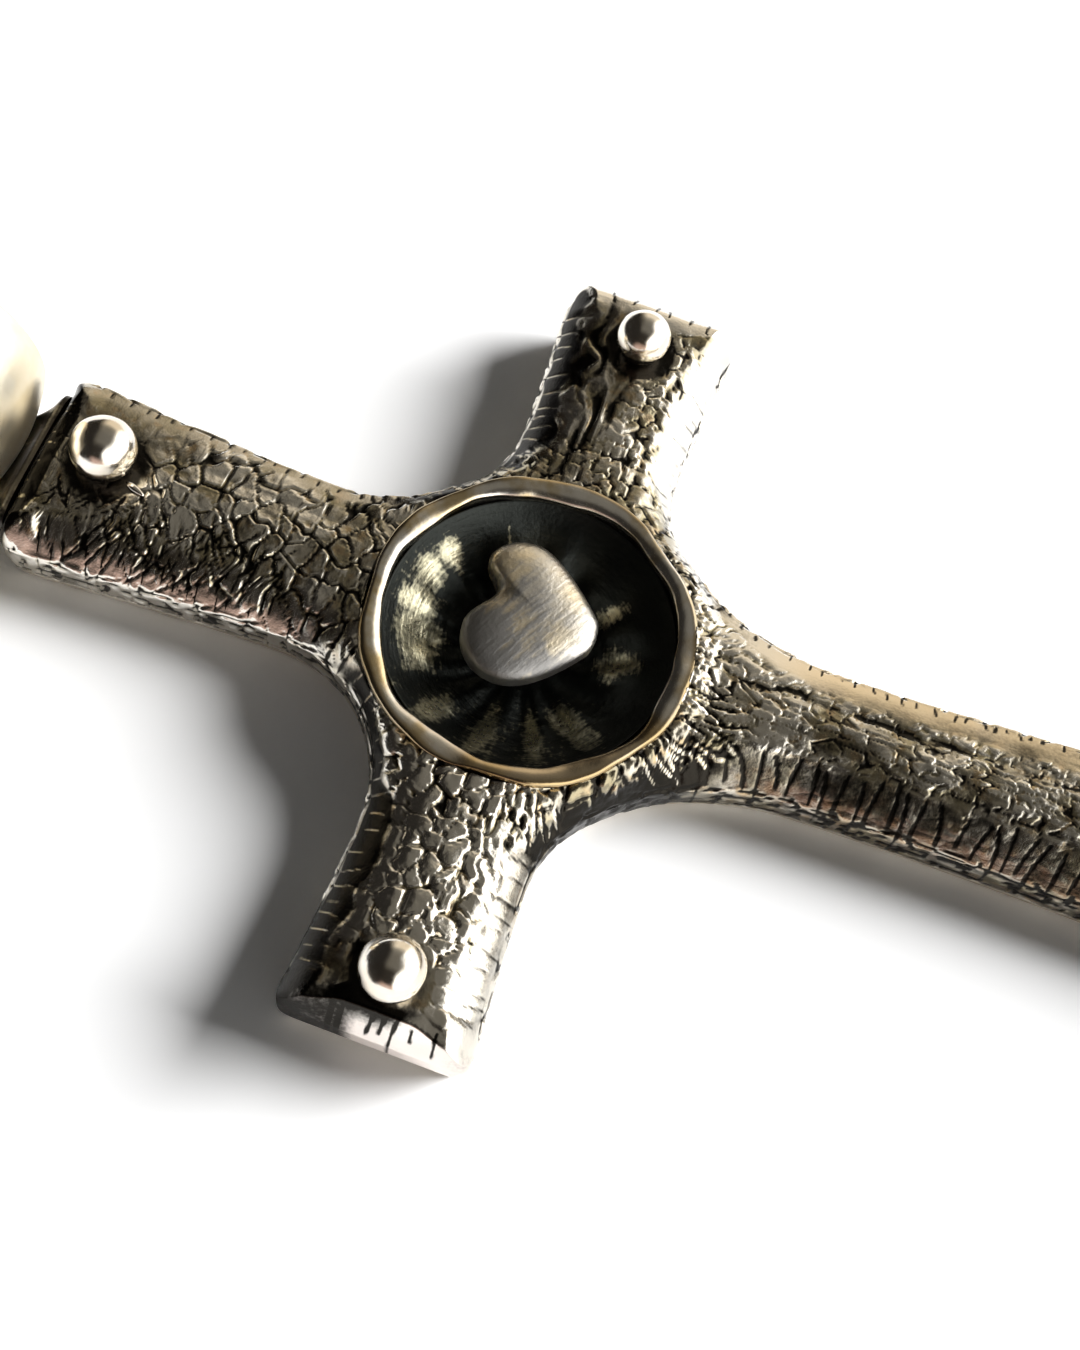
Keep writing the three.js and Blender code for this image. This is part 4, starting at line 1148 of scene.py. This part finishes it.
# Heart. A thick silver button, cut out, filed to a soft dome and brushed matt, with smoky tarnish left on
# it. The smoke is painted heavier on the side away from the light as shade, and its tip paler as a painted
# highlight. It is soldered on the post that stands in the middle of the dish.
heart_low, heart_high = [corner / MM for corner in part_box("heart")]
heart_half = (3.8, 3.2)
heart_middle = 1.0
heart_wall = 0.66
heart_tilt = 0.10
matt_warm = colour(0.88, 0.77, 0.57)
matt_pale = colour(0.84, 0.80, 0.72)
tip_highlight = colour(0.93, 0.91, 0.86)
smoke_and_shade_grey = colour(0.34, 0.335, 0.33)

matt_silver, place = metal("matt_silver")
brushed_place = place.node("ShaderNodeMapping", {}, {"Vector": place, "Rotation": (0.0, 0.0, 0.47)})
brushed = mottle(brushed_place, 1.6, 5.0, (0.35, 2.2, 1.0))
cloud = mottle(place, 0.5, 4.0)
grit = mottle(place, 5.0, 4.0)
across = part_of(place, "X")
from_tip = part_of(place, "Y")
# Smoky tarnish, painted heavier on the side away from the light as shade and lighter towards the tip as a
# painted highlight.
smoke_and_shade = (1.1 * cloud + 0.9 * brushed + 0.3 * grit - 0.12 * across + 0.08 * from_tip).step(0.82, 1.26)
smoke_and_shade = smoke_and_shade * (0.4 + 0.6 * from_tip.step(-3.4, -1.8))
shade = cloud.step(0.4, 0.62).blend(matt_warm, matt_pale)
shade = from_tip.step(-3.4, -1.0).blend(tip_highlight, shade)
shade = smoke_and_shade.blend(shade, smoke_and_shade_grey)
finish_metal(shade, 0.29 + 0.14 * smoke_and_shade + 0.12 * grit, cloud + 1.0 * brushed + 0.5 * grit, 0.035)


def bezier(start, first, second, end, count):
    """Points along a curve between two ends, drawn towards the two points between them."""
    t = np.linspace(0, 1, count, endpoint=False)[:, None]
    start, first, second, end = [np.array(p) for p in (start, first, second, end)]
    return (1 - t) ** 3 * start + 3 * (1 - t) ** 2 * t * first + 3 * (1 - t) * t ** 2 * second + t ** 3 * end


heart_corners = [
    (0.16, 0.68), (0.34, 0.72), (0.42, 1.06), (0.66, 0.98), (0.92, 0.86), (1.02, 0.55), (1.0, 0.28),
    (0.94, -0.1), (0.5, -0.68), (0.28, -0.92), (0.16, -1.02), (-0.06, -1.02), (-0.2, -0.94),
    (-0.62, -0.6), (-1.0, -0.2), (-1.0, 0.24), (-1.0, 0.72), (-0.68, 1.0), (-0.4, 1.0),
    (-0.16, 0.98), (-0.06, 0.72), (0.16, 0.68),
]
heart_outline = np.concatenate([bezier(*heart_corners[i:i + 4], 40) for i in range(0, 21, 3)]) * heart_half
heart_run = [(0.90, 0.0), (0.97, 0.04), (0.995, 0.13), (1.0, 0.25), (1.0, 0.45), (0.995, heart_wall)]
rings = []
for scale, rise in heart_run:
    rings.append(np.column_stack([scale * heart_outline, np.full(len(heart_outline), heart_low.z + rise)]))
dome_from = heart_low.z + heart_wall
for share in np.linspace(0.06, 0.985, 26):
    bend = share * math.pi / 2
    plan = math.cos(bend) ** 0.9 * heart_outline
    level = dome_from + (heart_high.z + 0.12 - dome_from) * math.sin(bend) ** 0.85
    lumps = 0.035 * rolling(plan[:, 0] / 1.4 + 5, plan[:, 1] / 1.4 + 5, 71) * math.sin(bend)
    lumps += heart_tilt * plan[:, 1] * math.sin(bend) ** 0.5
    rings.append(np.column_stack([plan, level + lumps]))
rings = [ring + (heart_middle, 0, 0) for ring in rings]
heart = solid_object("heart_button", *skin_over(rings, False), matt_silver)
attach(heart, "cross")
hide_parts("heart")


# Heart post. A short turned pin of silver under the heart, left black. Its thin end goes through the floor
# of the dish and is soldered below.
post_low, post_high = [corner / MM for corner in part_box("heart_post")]
post_radius = 0.9
tenon_radius = 0.5
oxide_coal = colour(0.05, 0.045, 0.038)
oxide_worn = colour(0.30, 0.27, 0.21)


def turned(profile, count):
    """Rings of points round the Z axis from a profile of radius and height, from below upwards."""
    angle = angles_round(count)
    return [np.column_stack([r * np.cos(angle), r * np.sin(angle), np.full(count, z)]) for r, z in profile]


oxidised_silver, place = metal("oxidised_silver")
cloud = mottle(place, 0.6, 4.0)
grain = mottle(place, 5.0, 4.0)
patchy = (cloud + 0.35 * (grain - 0.5)).step(0.48, 0.80)
shade = patchy.blend(oxide_coal, oxide_worn)
finish_metal(shade, 0.24 + 0.16 * grain, cloud + 0.3 * grain, 0.03)

post_profile = [
    (0.30, post_low.z), (tenon_radius, post_low.z + 0.08), (tenon_radius, dish_floor - 0.02),
    (0.78, dish_floor), (0.98, dish_floor + 0.10), (post_radius, dish_floor + 0.35),
    (post_radius, post_high.z - 0.2), (0.96, post_high.z),
]
rings = turned(post_profile, count=48)
heart_post = solid_object("heart_post_pin", *skin_over(rings, False), oxidised_silver)
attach(heart_post, "cross")
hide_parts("heart_post")


# Ball pins. A melted ball of silver on a wire, one through each arm, soldered inside and polished. A small
# drop of solder ran out beside the top one and stayed there.
stem_radius = 0.5
stem_into_ball = 0.5
spur_from = np.array([-0.15, 20.95])
spur_to = np.array([-0.52, 19.85])
spur_radius = 0.21
spur_sides = 20
silver_warm = colour(0.80, 0.72, 0.60)

polished_silver, place = metal("polished_silver")
cloud = mottle(place, 0.5, 3.0)
grain = mottle(place, 6.0, 3.0)
shade = cloud.step(0.35, 0.7).blend(silver_bright, silver_warm)
finish_metal(shade, 0.06 + 0.10 * cloud + 0.08 * grain, cloud + 0.15 * grain, 0.02)

pin_tree = bpy.data.node_groups.new("ball_pin", "GeometryNodeTree")
pin_sizes = {
    "Ball radius": 1.5,
    "Stem radius": stem_radius,
    "Stem length": 3.0,
    "Middle X": 0.0,
    "Middle Y": 0.0,
    "Middle Z": 6.0,
    "Unevenness": 0.03,
}
size = inputs_of(pin_tree, pin_sizes)
start = Wire(pin_tree)
ball = start.node("GeometryNodeMeshIcoSphere", {}, {"Radius": size["Ball radius"], "Subdivisions": 6})
place = start.node("GeometryNodeInputPosition", {}, {})
lump = place.node("ShaderNodeTexNoise", {}, {"Vector": place, "Scale": 0.8, "Detail": 1.0}) - 0.5
push_ends = {0: place, "Scale": lump * size["Unevenness"] * 2.0}
push = lump.node("ShaderNodeVectorMath", {"operation": "SCALE"}, push_ends)
ball = ball.node("GeometryNodeSetPosition", {}, {"Geometry": ball, "Offset": push})
stem_ends = {"Vertices": 48, "Radius": size["Stem radius"], "Depth": size["Stem length"]}
stem = start.node("GeometryNodeMeshCylinder", {}, stem_ends, "Mesh")
down = size["Stem length"] * -0.5 - stem_into_ball
sunk = down.node("ShaderNodeCombineXYZ", {}, {"X": 0.0, "Y": 0.0, "Z": down})
stem = stem.node("GeometryNodeTransform", {}, {"Geometry": stem, "Translation": sunk})
joined = ball.node("GeometryNodeMeshBoolean", {"operation": "UNION"}, {"Mesh 2": ball})
pin_tree.links.new(stem.socket, joined.socket.node.inputs["Mesh 2"])
middle = start.node("ShaderNodeCombineXYZ", {}, {axis: size["Middle " + axis] for axis in "XYZ"})
moved = joined.node("GeometryNodeTransform", {}, {"Geometry": joined, "Translation": middle})
scaled = moved.node("GeometryNodeTransform", {}, {"Geometry": moved, "Scale": (MM, MM, MM)})
finish_tree(scaled, polished_silver)

for name, x, y, radius in ball_seats:
    low_corner, high_corner = [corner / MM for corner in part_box(name)]
    middle_z = high_corner.z - radius
    own_sizes = {"Ball radius": radius, "Stem length": middle_z - low_corner.z - stem_into_ball}
    own_place = {"Middle X": x, "Middle Y": y, "Middle Z": middle_z}
    ball_pin = grown(name + "_ball", pin_tree, pin_sizes | own_sizes | own_place)
    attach(ball_pin, "cross")
    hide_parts(name)

rings = []
spur_way = (spur_to - spur_from) / np.linalg.norm(spur_to - spur_from)
for share in np.linspace(0.02, 0.98, 18):
    middle_x, middle_y = spur_from + (spur_to - spur_from) * share
    girth = spur_radius * math.sin(math.pi * share) ** 0.5 * (1.15 - 0.5 * share)
    bend = angles_round(spur_sides)
    sideways, level = girth * np.cos(bend), crown_height + 0.04 + girth * np.sin(bend)
    ring_x, ring_y = middle_x + spur_way[1] * sideways, middle_y - spur_way[0] * sideways
    rings.append(np.column_stack([ring_x, ring_y, level]))
spur = solid_object("solder_spur", *skin_over(rings[::-1], False), polished_silver)
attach(spur, "cross")


# Bail lug. A tongue of silver soldered across the end of the top arm. It narrows to a round eye for the
# hinge pin, and is left black.
hinge_y = 29.0
hinge_z = 2.7
eye_radius = 1.25
lug_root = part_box("bail_lug")[0].y / MM
lug_sunk = 0.3
lug_taper = 2.3
lug_root_half = 3.7
tongue_half = 1.3
lug_root_thick = 1.5
lug_columns = 88
pin_hole_radius = 0.53
rod_half = 5.0
hinge_at = np.array([0.0, hinge_y, hinge_z])


def about_hinge(rings, middle=hinge_at):
    """Turns rings made round the Z axis so that they stand round the X axis at a place."""
    return [ring[:, [2, 0, 1]] + middle for ring in rings]


def carved(thing, cutters):
    """Cuts other objects out of one and removes them, and leaves a plain mesh with its sharp edges marked."""
    for cutter in cutters:
        cut = thing.modifiers.new("cut", "BOOLEAN")
        cut.object = cutter
        cut.solver = "EXACT"
    ready = thing.evaluated_get(bpy.context.evaluated_depsgraph_get())
    mesh = bpy.data.meshes.new_from_object(ready)
    mesh.name = thing.name
    thing.modifiers.clear()
    thing.data = mesh
    mesh.set_sharp_from_angle(angle=math.radians(40))
    for cutter in cutters:
        bpy.data.objects.remove(cutter)


def rod(radius, half):
    """A plain cylinder about the hinge, for cutting."""
    ends = about_hinge(turned([(radius, -half), (radius, half)], count=64))
    return solid_object("cutter", *skin_over(ends, False), oxidised_silver)


rings = []
bend = angles_round(lug_columns)
squared = [np.copysign(np.abs(f(bend)) ** 0.42, f(bend)) for f in (np.cos, np.sin)]
lug_steps = np.concatenate([np.linspace(0, 0.69, 26), 1 - 0.31 * (1 - np.linspace(0.04, 0.99, 22)) ** 1.6])
for share in lug_steps:
    y = lug_root - lug_sunk + share * (hinge_y + eye_radius - lug_root + lug_sunk)
    along = min(max((y - lug_root) / lug_taper, 0), 1)
    half = tongue_half + (lug_root_half - tongue_half) * (1 - along) ** 1.5
    past = max(y - hinge_y, 0)
    to_eye = min(max((y - lug_root) / (hinge_y - lug_root), 0), 1)
    thick = lug_root_thick + (eye_radius - lug_root_thick) * to_eye
    thick = min(thick, math.sqrt(max(eye_radius ** 2 - past ** 2, 1e-4))) if past else thick
    fillet = 0.35 * math.exp(-max(y - lug_root, 0) / 0.25)
    wide, tall = (half + fillet) * squared[0], (thick + fillet) * squared[1]
    ring = np.column_stack([wide, np.full(lug_columns, y), hinge_z + tall])
    ring[:, 2] += 0.03 * rolling(ring[:, 0] / 1.3 + 9, ring[:, 1] / 1.3, 83)
    rings.append(ring[::-1])
lug = solid_object("bail_lug_tongue", *skin_over(rings, False), oxidised_silver)
carved(lug, [rod(pin_hole_radius, rod_half)])
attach(lug, "cross")
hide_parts("bail_lug")


# Bail. A broad puffed band of silver bent to a loop and soldered shut, polished bright. It is cut into a
# fork below, whose two ears hold the hinge pin beside the lug.
bail_low, bail_high = [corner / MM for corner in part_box("bail_loop")]
bail_middle = (bail_low + bail_high) / 2
bail_outer = (bail_high.z - bail_low.z) / 2
bail_bore = 4.0
bail_half = bail_high.x
bail_rim = 5.3
bail_rim_half = 0.45
bail_columns = 288
band_rows = 45
edge_rows = 11
swing_forward = math.radians(48)
swing_back = math.radians(44)
fork_gap = 0.3
fork_root = 0.5
fork_reach = 2 * bail_outer
pin_radius = 0.45
pin_gap = 0.03
cream_reflection_pale = colour(0.95, 0.88, 0.72)
cream_reflection_warm = colour(0.90, 0.80, 0.60)

profile = []
flat_half = bail_half - bail_rim_half
for side, puffed_to in ((1, bail_outer), (-1, bail_bore)):
    edge = bail_rim + side * bail_rim_half
    for across in np.linspace(-side, side, band_rows):
        puff = math.cos(across * math.pi / 2) ** 0.8 if abs(across) < 1 else 0.0
        profile.append((edge + (puffed_to - edge) * puff, across * flat_half))
    for share in np.linspace(0, 1, edge_rows)[1:-1]:
        out, past = [side * bail_rim_half * f(share * math.pi) for f in (math.cos, math.sin)]
        profile.append((bail_rim + out, side * flat_half + past))
rings = about_hinge(turned(profile, bail_columns), np.array([0.0, bail_middle.y, bail_middle.z]))

# Painted reflection: the bail's cream tint stands in for a beige room mirrored in the polished silver.
creamy_silver, place = metal("creamy_silver")
cloud = mottle(place, 0.5, 3.0)
grain = mottle(place, 5.0, 4.0)
shade = cloud.step(0.35, 0.65).blend(cream_reflection_pale, cream_reflection_warm)
finish_metal(shade, 0.24 + 0.14 * cloud + 0.08 * grain, cloud + 0.15 * grain, 0.03)
bail = solid_object("bail_band", *skin_over(rings, True), creamy_silver)

fork_half = tongue_half + fork_gap
fork_flare = fork_half + (lug_root_half - tongue_half) / lug_taper * (fork_reach - fork_root)
vee_profile = [
    (fork_root, -fork_half), (fork_reach, -fork_flare),
    (fork_reach, fork_flare), (fork_root, fork_half),
]
vee = solid_object("cutter", *skin_over(about_hinge(turned(vee_profile, count=96)), False), polished_silver)
rest_angle = math.atan2(bail_middle.z - hinge_z, bail_middle.y - hinge_y)
corners = []
for side, swing in ((1, swing_forward), (-1, swing_back)):
    towards_lug = math.pi + rest_angle - side * swing
    along = np.array([math.cos(towards_lug), math.sin(towards_lug)])
    near = np.array([-along[1], along[0]]) * -side * (lug_root_thick + fork_gap)
    corners.append([near, near + along * fork_reach])
wedge_plan = [corners[0][0], corners[0][1], corners[1][1], corners[1][0]]
rings = [np.array([(x, hinge_y + y, hinge_z + z) for y, z in wedge_plan]) for x in (-fork_reach, fork_reach)]
wedge = solid_object("cutter", *skin_over(rings, False), polished_silver)
meet = vee.modifiers.new("meet", "BOOLEAN")
meet.operation = "INTERSECT"
meet.object = wedge
carved(vee, [])
bpy.data.objects.remove(wedge)
carved(bail, [vee, rod(eye_radius + fork_gap, fork_half), rod(pin_radius + pin_gap, rod_half)])
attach(bail, "bail")
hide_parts("bail_loop")


# Hinge pin. A piece of polished silver wire through both ears of the bail and the lug's eye. Its ends are
# hammered over as rivets and filed round, flush with the ears.
pin_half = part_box("hinge_pin")[1].x / MM
rivet_profile = [(pin_radius, pin_half - 0.2), (0.33, pin_half - 0.05), (0.16, pin_half)]
pin_profile = [(radius, -level) for radius, level in reversed(rivet_profile)] + rivet_profile
rings = about_hinge(turned(pin_profile, count=56))
hinge_pin = solid_object("hinge_pin_wire", *skin_over(rings, False), polished_silver)
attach(hinge_pin, "bail")
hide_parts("hinge_pin")
